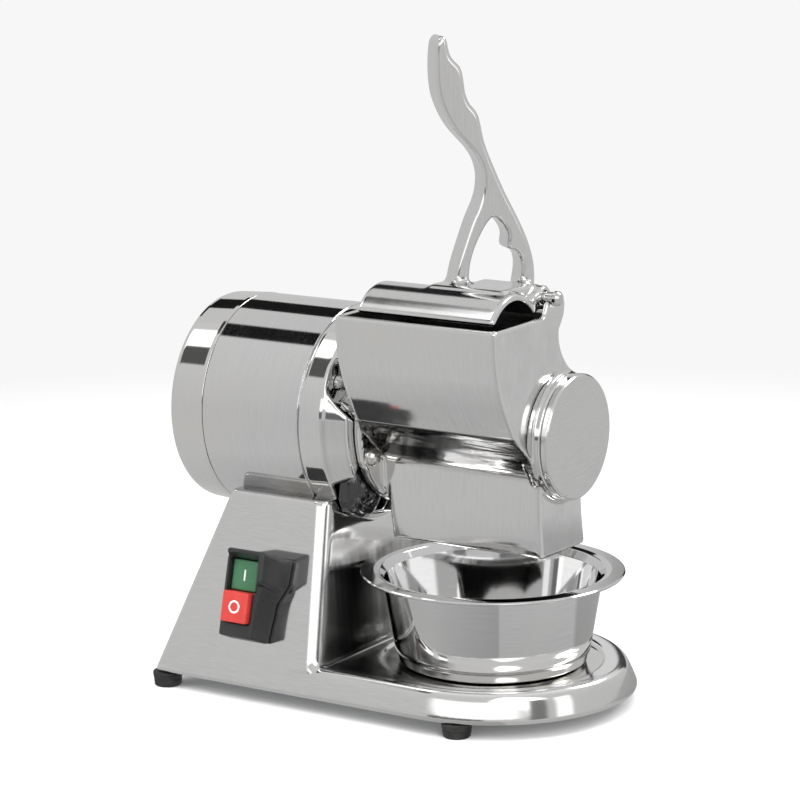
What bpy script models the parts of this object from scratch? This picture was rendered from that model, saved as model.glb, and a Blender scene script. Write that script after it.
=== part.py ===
"""Electric drum grater with a hopper, a press lever and a bowl on its base.

Lengths are in millimetres and become metres in new_object. The drive axis (motor, drum and caps)
runs along X. The front, with the hopper face at x = 0, is towards +X, and the switch is on the
-Y wall. Feet stand at z = 0.
"""
import math

import bmesh
import bpy
from mathutils import Vector

for old_object in list(bpy.data.objects):
    bpy.data.objects.remove(old_object, do_unlink=True)

# ---------------------------------------------------------------- shared dimensions
MM = 0.001
X_SHIFT = 112.01         # moves the hopper-face datum so the bounding box is centred in X
Y_SHIFT = 5.58           # and in Y, where the switch stands out on one side
GAP = 0.3                # clearance between pieces that rest on or fit into a neighbour

AXIS_Z = 179.4           # height of the drive axis
DRIVE_AXIS = (0, AXIS_Z)

BASE_BOTTOM = 10.0       # underside of the casting
BASE_HALF = 94.0         # half width at the bottom edge
BASE_FRONT_X = -53.0     # centre of the round front
BASE_REAR_X = -257.0
BOWL_X = -53.0

MOTOR_R = 70.0
SHELL_X0, SHELL_X1 = -230.0, -155.5
CAP_REAR_X = -257.0
FLANGE_X = -137.0        # shoulder of the motor's front flange
SPOT_X = FLANGE_X - 0.7  # floor of the spot faces in the flange neck

HEAD_X0, HEAD_X1 = -117.0, 0.0
CHAMBER_R = 32.0
DISC_R = 40.0            # front cap and the boss behind it

PIN_Y, PIN_Z = -13.0, 89.0   # press hinge, relative to the drive axis
PIN_R = 4.0

KNOB_Y, KNOB_Z = -34.6, -42.4   # lock knob, relative to the drive axis
KNOB_R = 20.2
KNOB_CENTRE = (KNOB_Y, KNOB_Z + AXIS_Z)

GLAND_CENTRE = (40.0, 38.0)  # cable entry low in the rear wall (y, z)

# ---------------------------------------------------------------- materials
POLISHED = (0.80, 0.80, 0.80)
STEEL = (0.74, 0.74, 0.75)
BLACK = (0.02, 0.02, 0.02)
COPPER = (0.72, 0.36, 0.18)
BRIGHT_STEEL = (0.7, 0.7, 0.72)
SCREW_STEEL = (0.66, 0.66, 0.68)
PALE_ALU = (0.78, 0.78, 0.79)

# name: (base colour, metallic, roughness)
MATERIAL_TABLE = {
    "polished_casting": (POLISHED, 1.0, 0.12),
    "plate_steel": ((0.55, 0.56, 0.58), 1.0, 0.35),
    "foot_rubber": (BLACK, 0.0, 0.7),
    "motor_sleeve_steel": (STEEL, 1.0, 0.2),
    "motor_cap_alu": (POLISHED, 1.0, 0.1),
    "motor_flange_alu": (POLISHED, 1.0, 0.1),
    "fastener_steel": (SCREW_STEEL, 1.0, 0.22),
    "stator_iron": ((0.30, 0.30, 0.32), 1.0, 0.45),
    "winding_rear_copper": (COPPER, 1.0, 0.35),
    "winding_front_copper": (COPPER, 1.0, 0.35),
    "rotor_iron": ((0.32, 0.32, 0.34), 1.0, 0.4),
    "shaft_steel": ((0.6, 0.6, 0.62), 1.0, 0.25),
    "bearing_steel": (BRIGHT_STEEL, 1.0, 0.18),
    "bearing_steel_front": (BRIGHT_STEEL, 1.0, 0.18),
    "seal_rubber": ((0.03, 0.03, 0.03), 0.0, 0.6),
    "head_casting_alu": (POLISHED, 1.0, 0.14),
    "knob_black": ((0.015, 0.015, 0.017), 0.0, 0.12),
    "front_cap_alu": (PALE_ALU, 1.0, 0.16),
    "drum_steel": (STEEL, 1.0, 0.25),
    "nut_steel": (SCREW_STEEL, 1.0, 0.22),
    "press_lever_alu": (POLISHED, 1.0, 0.12),
    "pin_steel": (BRIGHT_STEEL, 1.0, 0.15),
    "bowl_steel": (PALE_ALU, 1.0, 0.08),
    "switch_black": ((0.02, 0.02, 0.022), 0.0, 0.4),
    "button_green": ((0.08, 0.34, 0.16), 0.0, 0.35),
    "button_red": ((0.62, 0.06, 0.05), 0.0, 0.35),
    "block_grey": ((0.12, 0.12, 0.13), 0.0, 0.5),
    "capacitor_white": ((0.75, 0.75, 0.72), 0.0, 0.4),
    "terminal_nylon": ((0.85, 0.84, 0.78), 0.0, 0.5),
    "gland_black": (BLACK, 0.0, 0.45),
}


def make_material(name, colour, metallic, roughness):
    material = bpy.data.materials.new(name)
    material.use_nodes = True
    shader = material.node_tree.nodes["Principled BSDF"]
    shader.inputs["Base Color"].default_value = (*colour, 1.0)
    shader.inputs["Metallic"].default_value = metallic
    shader.inputs["Roughness"].default_value = roughness
    material.diffuse_color = (*colour, 1.0)
    return material


MATERIALS = {name: make_material(name, *spec) for name, spec in MATERIAL_TABLE.items()}


# ---------------------------------------------------------------- solids
def new_object(name, verts, faces, material, smooth):
    """Makes an object; without a material it is a boolean helper, hidden from renders."""
    mesh = bpy.data.meshes.new(name)
    placed = [((x + X_SHIFT) * MM, (y + Y_SHIFT) * MM, z * MM) for x, y, z in verts]
    mesh.from_pydata(placed, [], faces)
    bm = bmesh.new()
    bm.from_mesh(mesh)
    bmesh.ops.remove_doubles(bm, verts=bm.verts, dist=1e-6)
    bmesh.ops.recalc_face_normals(bm, faces=bm.faces)
    if bm.calc_volume(signed=True) < 0:
        bmesh.ops.reverse_faces(bm, faces=bm.faces)
    bm.to_mesh(mesh)
    bm.free()
    for polygon in mesh.polygons:
        polygon.use_smooth = smooth
    obj = bpy.data.objects.new(name, mesh)
    bpy.context.scene.collection.objects.link(obj)
    if material is None:
        obj.hide_render = True
        obj.display_type = "WIRE"
    else:
        mesh.materials.append(MATERIALS[material])
    return obj


def lathe(name, profile, material=None, centre=DRIVE_AXIS, axis="X", segments=48):
    """Turns a closed outline of (distance along axis, radius); radius 0 lies on the axis.

    centre is (y, z) for axis X and (x, y) for axis Z.
    """

    def place(along, u, v):
        u, v = centre[0] + u, centre[1] + v
        return (along, u, v) if axis == "X" else (u, v, along)

    verts, rings = [], []
    for along, radius in profile:
        first = len(verts)
        if radius < 1e-6:
            rings.append([first] * segments)
            verts.append(place(along, 0.0, 0.0))
            continue
        rings.append(list(range(first, first + segments)))
        for k in range(segments):
            angle = 2 * math.pi * k / segments
            verts.append(place(along, radius * math.cos(angle), radius * math.sin(angle)))

    faces = []
    for i, ring in enumerate(rings):
        after = rings[(i + 1) % len(rings)]
        if ring[0] == ring[1] and after[0] == after[1]:
            continue
        for k in range(segments):
            k2 = (k + 1) % segments
            # a corner repeated on the axis leaves a triangle
            face = list(dict.fromkeys([ring[k], ring[k2], after[k2], after[k]]))
            if len(face) > 2:
                faces.append(face)
    return new_object(name, verts, faces, material, True)


def cylinder(name, start, end, radius, material=None, **placing):
    profile = [(start, 0), (start, radius), (end, radius), (end, 0)]
    return lathe(name, profile, material, **placing)


def tube(name, start, end, outer_r, inner_r, material, segments):
    profile = [(start, outer_r), (end, outer_r), (end, inner_r), (start, inner_r)]
    return lathe(name, profile, material, segments=segments)


def loft(name, rings, material=None, smooth=False):
    """Skins rings of (x, y, z) points, with the same count in each, and caps both ends."""
    n = len(rings[0])
    last = (len(rings) - 1) * n
    faces = [list(range(n)), list(range(last, last + n))]
    for start in range(0, last, n):
        for k in range(n):
            k2 = (k + 1) % n
            faces.append([start + k, start + k2, start + n + k2, start + n + k])
    verts = [point for ring in rings for point in ring]
    return new_object(name, verts, faces, material, smooth)


def prism(name, outline, start, end, material=None):
    """Extrudes a (y, z) outline along X."""
    return loft(name, [[(x, y, z) for y, z in outline] for x in (start, end)], material)


def side_prism(name, outline, start, end, material=None):
    """Extrudes an (x, z) outline along Y."""
    return loft(name, [[(x, y, z) for x, z in outline] for y in (start, end)], material)


def boolean(target, tool, operation):
    modifier = target.modifiers.new(operation.title(), "BOOLEAN")
    modifier.operation = operation
    modifier.solver = "EXACT"
    modifier.object = tool


def cut(target, tool):
    boolean(target, tool, "DIFFERENCE")


def join(target, tool):
    boolean(target, tool, "UNION")


# ---------------------------------------------------------------- outlines
def arc(centre_y, centre_z, radius, start, end, steps):
    """Points from the start to the end angle, in degrees."""
    angles = [math.radians(start + (end - start) * i / steps) for i in range(steps + 1)]
    return [(centre_y + radius * math.cos(a), centre_z + radius * math.sin(a)) for a in angles]


def from_axis(outline):
    """Moves (y, z) points given from the drive axis to their true height."""
    return [(y, z + AXIS_Z) for y, z in outline]


def rounded_rect(x0, x1, half, rear_r, front_r, z, steps=4):
    points = []
    for centre_x, centre_y, radius, start in (
        (x1 - front_r, half - front_r, front_r, 0),
        (x0 + rear_r, half - rear_r, rear_r, 90),
        (x0 + rear_r, -half + rear_r, rear_r, 180),
        (x1 - front_r, -half + front_r, front_r, 270),
    ):
        corner = arc(centre_x, centre_y, radius, start, start + 90, steps)
        points += [(x, y, z) for x, y in corner]
    return points


# ---------------------------------------------------------------- base casting
TOWER_TOP = 136.0
TOWER_TOP_HALF = 63.5
TOWER_FRONT_X = -132.0   # at the bottom
REAR_LEAN = 46.0         # how far the rear wall moves in X by the top
FRONT_LEAN = -12.4       # the same for the front wall, which moves towards the rear
FRONT_LEAN_SIGN_NOTE = None
TOWER_REAR_R, TOWER_FRONT_R = 7.0, 8.0
TOWER_CHAMFER = 1.6
WALL = 5.0
INNER_BOTTOM, INNER_TOP = 5.0, 101.0   # the hollow starts below the casting
SADDLE_R = MOTOR_R + 0.6
GLAND_HOLE_R = 6.4

DECK_TOP = 28.5
# deck levels: (inset from the base edge, z, rear x)
DECK_LEVELS = [
    (0.02, BASE_BOTTOM, -145.0), (3.0, 22.0, -145.2), (4.3, 26.0, -145.4), (5.9, 28.6, -145.6),
    (8.2, 29.8, -145.8), (10.4, 29.5, -146.0), (12.6, DECK_TOP, -146.2),
]
INNER_DECK_LEVELS = [(5.6, INNER_BOTTOM, -150.0), (9.0, 21.6, -150.0)]

RECESS_R = 71.5
RECESS_FLOOR = 25.7
# (z, radius)
RECESS_PROFILE = [
    (RECESS_FLOOR, 0), (RECESS_FLOOR, RECESS_R - 1.5), (RECESS_FLOOR + 1.5, RECESS_R),
    (60.0, RECESS_R + 1.0), (60.0, 0),
]


def tower_half(z):
    rise = (z - BASE_BOTTOM) / (TOWER_TOP - BASE_BOTTOM)
    return BASE_HALF + (TOWER_TOP_HALF - BASE_HALF) * rise


def tower_ring(z, inset):
    rise = (z - BASE_BOTTOM) / (TOWER_TOP - BASE_BOTTOM)
    return rounded_rect(
        BASE_REAR_X + rise * REAR_LEAN + inset,
        TOWER_FRONT_X + rise * FRONT_LEAN - inset,
        tower_half(z) - inset,
        TOWER_REAR_R - inset,
        TOWER_FRONT_R - inset,
        z,
    )


def deck_ring(inset, z, rear_x, steps=28):
    """Straight sides from rear_x to a half round front."""
    radius = BASE_HALF - inset
    front = arc(BASE_FRONT_X, 0.0, radius, -90, 90, steps)
    return [(rear_x, -radius, z)] + [(x, y, z) for x, y in front] + [(rear_x, radius, z)]


def deck_loft(name, levels, material=None):
    return loft(name, [deck_ring(*level) for level in levels], material)


def build_base():
    tower = [
        tower_ring(BASE_BOTTOM, 0.0),
        tower_ring(TOWER_TOP - 2.0, 0.0),
        tower_ring(TOWER_TOP, TOWER_CHAMFER),
    ]
    base = loft("base_casting", tower, "polished_casting")
    join(base, deck_loft("h_deck", DECK_LEVELS))
    hollow = [tower_ring(z, WALL) for z in (INNER_BOTTOM, INNER_TOP)]
    cut(base, loft("h_inner_tower", hollow))
    cut(base, deck_loft("h_inner_deck", INNER_DECK_LEVELS))
    cut(base, cylinder("h_saddle", -300.0, -90.0, SADDLE_R, segments=72))
    recess = lathe("h_recess", RECESS_PROFILE, centre=(BOWL_X, 0), axis="Z", segments=56)
    cut(base, recess)
    cut(base, switch_box("h_switch_hole", -20.0, 8.0, SWITCH_HOLE))
    gland_hole = cylinder(
        "h_gland_hole", -275.0, -225.0, GLAND_HOLE_R, centre=GLAND_CENTRE, segments=24
    )
    cut(base, gland_hole)


# ---------------------------------------------------------------- bottom plate and feet
PLATE_LEVELS = [(7.6, 10.3, -250.9), (7.6, 11.8, -250.7)]   # columns as DECK_LEVELS
FOOT_PLACES = [(-250.5, -86.0), (-250.5, 86.0), (-30.0, -81.0), (-30.0, 81.0)]   # (x, y)
# (z, radius)
FOOT_PROFILE = [(0.0, 0), (0.0, 7.8), (0.7, 8.7), (8.6, 9.9), (9.4, 9.6), (9.7, 9.1), (9.7, 0)]


def build_plate_and_feet():
    deck_loft("bottom_plate", PLATE_LEVELS, "plate_steel")
    for i, place in enumerate(FOOT_PLACES, 1):
        lathe(f"foot_{i}", FOOT_PROFILE, "foot_rubber", centre=place, axis="Z", segments=20)


# ---------------------------------------------------------------- motor housing
SPIGOT_R = MOTOR_R - 2.2          # part of each end casting that enters the shell
NECK_R, NECK_END_R = 67.7, 62.6   # flared neck between the flange and the head
NECK_X = -122.3

# (x, radius)
REAR_CAP_PROFILE = [
    (CAP_REAR_X, 0), (CAP_REAR_X, 50.0), (CAP_REAR_X + 0.3, 65.0), (CAP_REAR_X + 0.8, 67.2),
    (CAP_REAR_X + 2.0, 68.5), (CAP_REAR_X + 4.0, 69.1), (SHELL_X0 - 3.0, MOTOR_R + 0.2),
    (SHELL_X0 - GAP, MOTOR_R + 0.1), (SHELL_X0 - GAP, SPIGOT_R), (SHELL_X0 + 6.0, SPIGOT_R),
    (SHELL_X0 + 6.0, MOTOR_R - 6.0), (CAP_REAR_X + 8.0, MOTOR_R - 8.0),
    (CAP_REAR_X + 5.0, 50.0), (CAP_REAR_X + 5.0, 17.0), (CAP_REAR_X + 17.0, 17.0),
    (CAP_REAR_X + 17.0, 11.3), (CAP_REAR_X + 6.0, 11.3), (CAP_REAR_X + 6.0, 0),
]
FRONT_FLANGE_PROFILE = [
    (SHELL_X1 + GAP, MOTOR_R - 6.0), (SHELL_X1 - 6.0, MOTOR_R - 6.0), (SHELL_X1 - 6.0, SPIGOT_R),
    (SHELL_X1 + GAP, SPIGOT_R), (SHELL_X1 + GAP, MOTOR_R + 0.1), (FLANGE_X - 1.0, MOTOR_R - 0.7),
    (FLANGE_X, MOTOR_R - 1.2), (FLANGE_X + 0.5, NECK_R), (NECK_X, NECK_END_R), (NECK_X, 20.0),
    (FLANGE_X - 2.0, 20.0), (FLANGE_X - 2.0, 15.3), (SHELL_X1 + 2.0, 15.3),
    (SHELL_X1 + 2.0, 22.0), (FLANGE_X - 8.0, 24.0), (FLANGE_X - 6.0, MOTOR_R - 12.0),
]

FLANGE_SCREW_CIRCLE_R = 56.5
# (angle in degrees, spot face radius at its floor, radius at its mouth)
FLANGE_SCREWS = [(150.0, 13.0, 24.0), (30.0, 8.0, 9.0), (-60.0, 8.0, 9.0)]
SPOT_MOUTH_X = -119.0


def round_screw(name, seat_x, centre, head_r, head_h, shank_r, depth, segments):
    """Round-head screw along X, head towards +X, with a round recess in the head."""
    head_x = seat_x + GAP
    profile = [
        (seat_x - depth, 0), (seat_x - depth, shank_r), (head_x, shank_r), (head_x, head_r),
        (head_x + head_h * 0.45, head_r * 0.97), (head_x + head_h * 0.8, head_r * 0.78),
        (head_x + head_h, head_r * 0.5), (head_x + head_h, head_r * 0.42),
        (head_x + head_h * 0.4, head_r * 0.42), (head_x + head_h * 0.4, 0),
    ]
    lathe(name, profile, "fastener_steel", centre=centre, segments=segments)


def build_motor_shell():
    tube("motor_shell", SHELL_X0, SHELL_X1, MOTOR_R, MOTOR_R - 1.8, "motor_sleeve_steel", 64)
    lathe("motor_rear_cap", REAR_CAP_PROFILE, "motor_cap_alu", segments=52)


def build_front_flange():
    flange = lathe("motor_front_flange", FRONT_FLANGE_PROFILE, "motor_flange_alu", segments=52)
    knob_notch = cylinder(
        "h_knob_notch", SPOT_X, -118.0, KNOB_R + 1.2, centre=KNOB_CENTRE, segments=32
    )
    cut(flange, knob_notch)
    cut(flange, cylinder("h_stud_hole", -147.0, -118.0, 3.3, centre=KNOB_CENTRE, segments=16))

    for i, (degrees, floor_r, mouth_r) in enumerate(FLANGE_SCREWS, 1):
        angle = math.radians(degrees)
        centre = (
            FLANGE_SCREW_CIRCLE_R * math.cos(angle),
            FLANGE_SCREW_CIRCLE_R * math.sin(angle) + AXIS_Z,
        )
        cut(flange, cylinder(f"h_fs_{i}", -150.0, -130.0, 2.8, centre=centre, segments=16))
        spot_face = [(SPOT_X, 0), (SPOT_X, floor_r), (SPOT_MOUTH_X, mouth_r), (SPOT_MOUTH_X, 0)]
        cut(flange, lathe(f"h_fp_{i}", spot_face, centre=centre, segments=32))
        round_screw(
            f"flange_screw_{i}", SPOT_X, centre,
            head_r=5.2, head_h=3.6, shank_r=2.5, depth=5.0, segments=16,
        )
    return flange


# ---------------------------------------------------------------- inside the motor
CORE_X0, CORE_X1 = -214.0, -172.0
WINDING_R = 51.5         # middle radius of the winding rings
WINDING_HALF_DEPTH = 10.5
# (name, rear x, front x)
WINDINGS = [("winding_rear", -226.0, -214.3), ("winding_front", -171.7, -160.0)]
# (name, rear x, front x, outer radius, inner radius, material)
BEARINGS_AND_SEAL = [
    ("rear_bearing", CAP_REAR_X + 7.5, CAP_REAR_X + 16.5, 11.0, 5.3, "bearing_steel"),
    ("front_bearing", -151.0, -139.5, 15.0, 8.3, "bearing_steel_front"),
    ("shaft_seal", -121.7, -117.3, 19.5, 6.9, "seal_rubber"),
]
# (x, radius)
SHAFT_PROFILE = [
    (CAP_REAR_X + 7.0, 0), (CAP_REAR_X + 7.0, 5.0), (CAP_REAR_X + 17.5, 5.0),
    (CAP_REAR_X + 17.5, 8.0), (FLANGE_X + 3.0, 8.0), (FLANGE_X + 3.0, 6.5), (-102.0, 6.5),
    (-102.0, 5.0), (-20.0, 5.0), (-20.0, 4.0), (-8.0, 4.0), (-8.0, 0),
]


def build_motor_internals():
    tube("stator_core", CORE_X0, CORE_X1, 67.6, 38.0, "stator_iron", 48)
    for name, x0, x1 in WINDINGS:
        section = []   # eight-sided oval
        for degrees in range(0, 360, 45):
            angle = math.radians(degrees)
            x = (x0 + x1) / 2 + (x1 - x0) / 2 * math.cos(angle)
            section.append((x, WINDING_R + WINDING_HALF_DEPTH * math.sin(angle)))
        lathe(name, section, name + "_copper", segments=32)
    tube("rotor_core", CORE_X0, CORE_X1, 37.4, 8.3, "rotor_iron", 36)
    lathe("motor_shaft", SHAFT_PROFILE, "shaft_steel", segments=24)
    for name, x0, x1, outer_r, inner_r, material in BEARINGS_AND_SEAL:
        tube(name, x0, x1, outer_r, inner_r, material, 24)


# ---------------------------------------------------------------- head casting
RIM_Z = 79.0             # hopper rim above the axis

# Outer outline of hopper, drum chamber and outlet: (y, z) from the drive axis
HEAD_OUTER = [
    (-83.5, RIM_Z), (-83.3, 68.0), (-82.2, 57.0), (-80.0, 47.0), (-77.0, 38.5), (-73.0, 29.5),
    (-68.0, 20.5), (-63.0, 12.5), (-60.5, 8.2), (-57.5, 4.6), (-53.0, 0.8), (-47.5, -3.6),
    (-42.0, -8.6), (-37.0, -14.2), (-33.4, -18.6), (-31.2, -22.5), (-30.4, -27.0),
    (-30.0, -42.0), (-27.0, -75.0), (27.0, -75.0), (23.4, -54.0), (22.6, -44.0),
    (24.2, -36.0), (28.6, -29.5),
    *arc(0, 0, 36.6, -34.0, 62.0, 12),
    (12.0, 38.6), (7.0, 42.6), (2.6, 46.8), (-1.2, 51.6), (-4.2, 57.0), (-5.8, 62.5),
    (-6.0, 68.0), (-4.6, 72.5), (-1.6, 76.0), (1.0, RIM_Z),
]
# Inner outline in three runs, same columns: hopper on the -Y side, outlet, +Y side
CAVITY_HOPPER = [
    (-79.3, 95.0), (-79.3, 68.0), (-78.2, 57.6), (-76.2, 48.6), (-73.2, 40.0), (-69.4, 31.6),
    (-64.6, 23.0), (-59.6, 15.0), (-57.0, 11.0), (-54.4, 8.0), (-50.2, 4.4), (-44.8, 0.0),
    (-39.4, -5.0), (-34.4, -10.8), (-30.6, -15.6), (-28.0, -21.0), (-26.6, -28.0),
]
CAVITY_OUTLET = [
    (-26.2, -42.0), (-22.6, -90.0), (22.6, -90.0), (19.6, -54.0), (18.8, -44.0), (20.4, -35.0),
]
CAVITY_PLUS_Y = [
    (24.6, -26.5),
    *arc(0, 0, CHAMBER_R + 0.7, -38.0, 66.0, 12),
    (9.0, 34.6), (4.2, 38.8), (-0.6, 43.4), (-4.8, 49.0), (-8.0, 55.4), (-9.8, 62.0),
    (-10.0, 68.6), (-8.4, 74.0), (-5.4, 78.0), (-4.0, 95.0),
]
# Floor of the rear part of the cavity, which has no outlet
CAVITY_FLOOR = [(-24.6, -31.0), (20.6, -31.0)]
# Keeps the rear cavity's walls from coinciding with those of the main one
REAR_CAVITY_Y_SCALE = 0.9985
REAR_CAVITY_LIFT = 0.05

# Cutter that slopes the rear of the outlet: (x, z)
CHUTE_TRIM = [
    (-127.0, 80.0), (-110.6, 80.0), (-112.6, 123.0), (-114.4, 138.0), (-117.6, 146.0),
    (-127.0, 146.0),
]
# (x, radius)
HEAD_FLANGE_PROFILE = [
    (HEAD_X0 - 5.0, 20.6), (HEAD_X0 - 5.0, 56.0), (HEAD_X0 - 1.0, 56.0), (HEAD_X0 + 0.6, 55.0),
    (HEAD_X0 + 1.0, 54.0), (HEAD_X0 + 1.0, 20.6),
]
CAP_BOSS_PROFILE = [
    (-2.0, CHAMBER_R + 0.3), (-2.0, DISC_R + 0.8), (0.4, DISC_R + 0.6), (1.4, DISC_R - 1.0),
    (2.6, DISC_R), (4.4, DISC_R), (5.0, DISC_R - 1.2), (5.0, CHAMBER_R + 0.3),
]
# Hinge lugs, (y, z) from the drive axis; their top edge has an open slot for the pin
LUG_TOP = [
    (-19.0, 88.6), (-17.4, 89.0), (-16.6, 86.4), (-15.0, 84.9), (-13.0, 84.4), (-11.0, 84.9),
    (-9.4, 86.4), (-8.6, 89.0), (-6.0, 89.2), (-2.0, 88.2),
]
FRONT_LUG = [(-25.0, 76.0), (-21.5, 84.6), *LUG_TOP, (2.2, 84.8), (0.2, 78.2), (-3.0, 76.0)]
REAR_LUG = [
    (-5.5, 72.5), (-10.5, 80.6), (-16.4, 82.4), (-19.6, 86.0),
    *LUG_TOP,
    (1.8, 84.8), (0.0, 78.2), (-3.0, 75.8),
]

HEAD_BOLTS = [(-44.2, -18.8), (47.6, 6.0), (42.0, -23.0)]   # (y, z) from the drive axis
BOLT_HOLE_R = 3.3


def build_head():
    head = prism("head_casting", from_axis(HEAD_OUTER), HEAD_X0, HEAD_X1, "head_casting_alu")
    cut(head, side_prism("h_chute_trim", CHUTE_TRIM, -60.0, 60.0))
    cavity = from_axis(CAVITY_HOPPER + CAVITY_OUTLET + CAVITY_PLUS_Y)
    cut(head, prism("h_hollow", cavity, HEAD_X0 + 11.0, HEAD_X1 - 4.2))
    rear_cavity = [
        (y * REAR_CAVITY_Y_SCALE, z + REAR_CAVITY_LIFT)
        for y, z in CAVITY_HOPPER + CAVITY_FLOOR + CAVITY_PLUS_Y
    ]
    cut(head, prism("h_hollow_up", from_axis(rear_cavity), HEAD_X0 + 5.0, HEAD_X0 + 14.0))
    cut(head, cylinder("h_bore", -9.0, 20.0, CHAMBER_R, segments=56))
    cut(head, cylinder("h_shaft_hole", -119.0, -100.0, 20.0, segments=40))
    join(head, lathe("h_head_flange", HEAD_FLANGE_PROFILE, segments=56))
    join(head, lathe("h_cap_boss", CAP_BOSS_PROFILE, segments=56))
    join(head, prism("h_lug_front", from_axis(FRONT_LUG), -4.8, -0.4))
    join(head, prism("h_lug_rear", from_axis(REAR_LUG), -60.0, -53.2))
    return head


def bolt_head_to_motor(head, flange):
    for i, centre in enumerate(from_axis(HEAD_BOLTS), 1):
        hole = cylinder(f"h_bolt_{i}", -129.0, -105.0, BOLT_HOLE_R, centre=centre, segments=16)
        cut(head, hole)
        cut(flange, hole)
        round_screw(
            f"head_bolt_{i}", HEAD_X0 + 1.2, centre,
            head_r=6.0, head_h=5.0, shank_r=3.0, depth=12.0, segments=24,
        )


# ---------------------------------------------------------------- lock knob
KNOB_LOBES = 5
KNOB_LOBE_DEPTH = 1.3
KNOB_POINTS = 60
# (x, scale of the lobed outline)
KNOB_LEVELS = [(-136.4, 0.86), (-135.0, 1.0), (-126.4, 0.97), (-123.2, 0.80), (-122.6, 0.55)]


def build_lock_knob():
    """Lobed knob behind the head flange, on a plain stud."""
    lobes = []
    for k in range(KNOB_POINTS):
        angle = 2 * math.pi * k / KNOB_POINTS
        radius = KNOB_R - KNOB_LOBE_DEPTH + KNOB_LOBE_DEPTH * math.cos(KNOB_LOBES * angle)
        lobes.append((radius * math.cos(angle), radius * math.sin(angle)))
    centre_y, centre_z = KNOB_CENTRE
    rings = [
        [(x, centre_y + scale * y, centre_z + scale * z) for y, z in lobes]
        for x, scale in KNOB_LEVELS
    ]
    knob = loft("lock_knob", rings, "knob_black", smooth=True)
    cut(knob, cylinder("h_knob_bore", -140.0, -127.0, 3.5, centre=KNOB_CENTRE, segments=16))
    cylinder(
        "lock_stud", -146.0, -127.6, 3.0, "fastener_steel", centre=KNOB_CENTRE, segments=16
    )


# ---------------------------------------------------------------- front cap and drum
# (x, radius)
FRONT_CAP_PROFILE = [
    (-4.0, 0), (-4.0, 24.0), (-4.0, CHAMBER_R - 0.4), (5.0 + GAP, CHAMBER_R - 0.4),
    (5.0 + GAP, DISC_R - 1.0), (6.0, DISC_R), (8.8, DISC_R), (10.0, DISC_R - 0.6),
    (10.5, DISC_R - 1.8), (10.5, 0),
]
DRUM_BORE_PROFILE = [
    (-120.0, 0), (-120.0, 6.8), (-101.7, 6.8), (-101.7, 5.3), (-12.0, 5.3), (-12.0, 12.0),
    (0.0, 12.0), (0.0, 0),
]
NUT_PROFILE = [(-11.6, 5.0), (-7.9, 5.0), (-7.9, 8.5), (-11.6, 8.5)]

DRUM_R = 28.5
TOOTH_COUNT = 30
ROOT_R = DRUM_R - 1.5
# One tooth: (angle from its start in radians, radius)
TOOTH = [(0.0, DRUM_R), (0.030, DRUM_R), (0.085, ROOT_R), (0.165, ROOT_R)]


def build_drum():
    """Serrated drum with a stepped bore, held by a hexagonal nut."""
    teeth = []
    for k in range(TOOTH_COUNT):
        start = 2 * math.pi * k / TOOTH_COUNT
        teeth += [(r * math.cos(start + turn), r * math.sin(start + turn)) for turn, r in TOOTH]
    drum = prism("grating_drum", from_axis(teeth), -109.5, -6.6, "drum_steel")
    cut(drum, lathe("h_drum_bore", DRUM_BORE_PROFILE, segments=24))
    lathe("drum_nut", NUT_PROFILE, "nut_steel", segments=6)


# ---------------------------------------------------------------- press lever
SHOE_X0, SHOE_X1 = -104.8, -6.0
SHOE_CENTRE = (-49.5, 62.9)      # centre of the saddle arch, (y, z) from the drive axis
SHOE_OUTER_R, SHOE_INNER_R = 33.6, 28.6
SHOE_ANGLE = 54.9                # half the arch, in degrees

# (x, radius) about the hinge pin
BARREL_PROFILE = [(-52.0, 0), (-52.0, 7.0), (-51.2, 7.6), (-7.0, 7.6), (-6.2, 6.8), (-6.2, 0)]
# Web from shoe to barrel and pad under the handle: (y, z) from the drive axis
WEB = [
    (-30.0, 87.6), (-26.0, 91.4), (-20.0, 93.8), (-13.0, 94.6), (-8.0, 90.0), (-12.0, 83.0),
    (-18.0, 82.2), (-24.0, 82.6), (-27.0, 84.6),
]
PAD = [
    (-50.0, 92.2), (-54.5, 94.2), (-53.0, 97.2), (-49.0, 98.2), (-40.0, 98.0), (-28.0, 97.2),
    (-16.0, 97.0), (-10.0, 95.4), (-7.6, 91.5), (-12.0, 85.0), (-20.0, 84.0), (-26.6, 85.0),
    (-32.0, 88.6), (-38.0, 91.2), (-44.0, 92.6),
]
PAD_TRIM = [(-24.0, 60.0), (-24.0, 120.0), (20.0, 120.0), (20.0, 60.0)]

HANDLE_ANGLE = math.radians(51.0)   # plane of the handle, from +X towards +Y
HANDLE_THICK = 20.0
HANDLE_ORIGIN = (-52.8, -45.6)      # (x, y)
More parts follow.
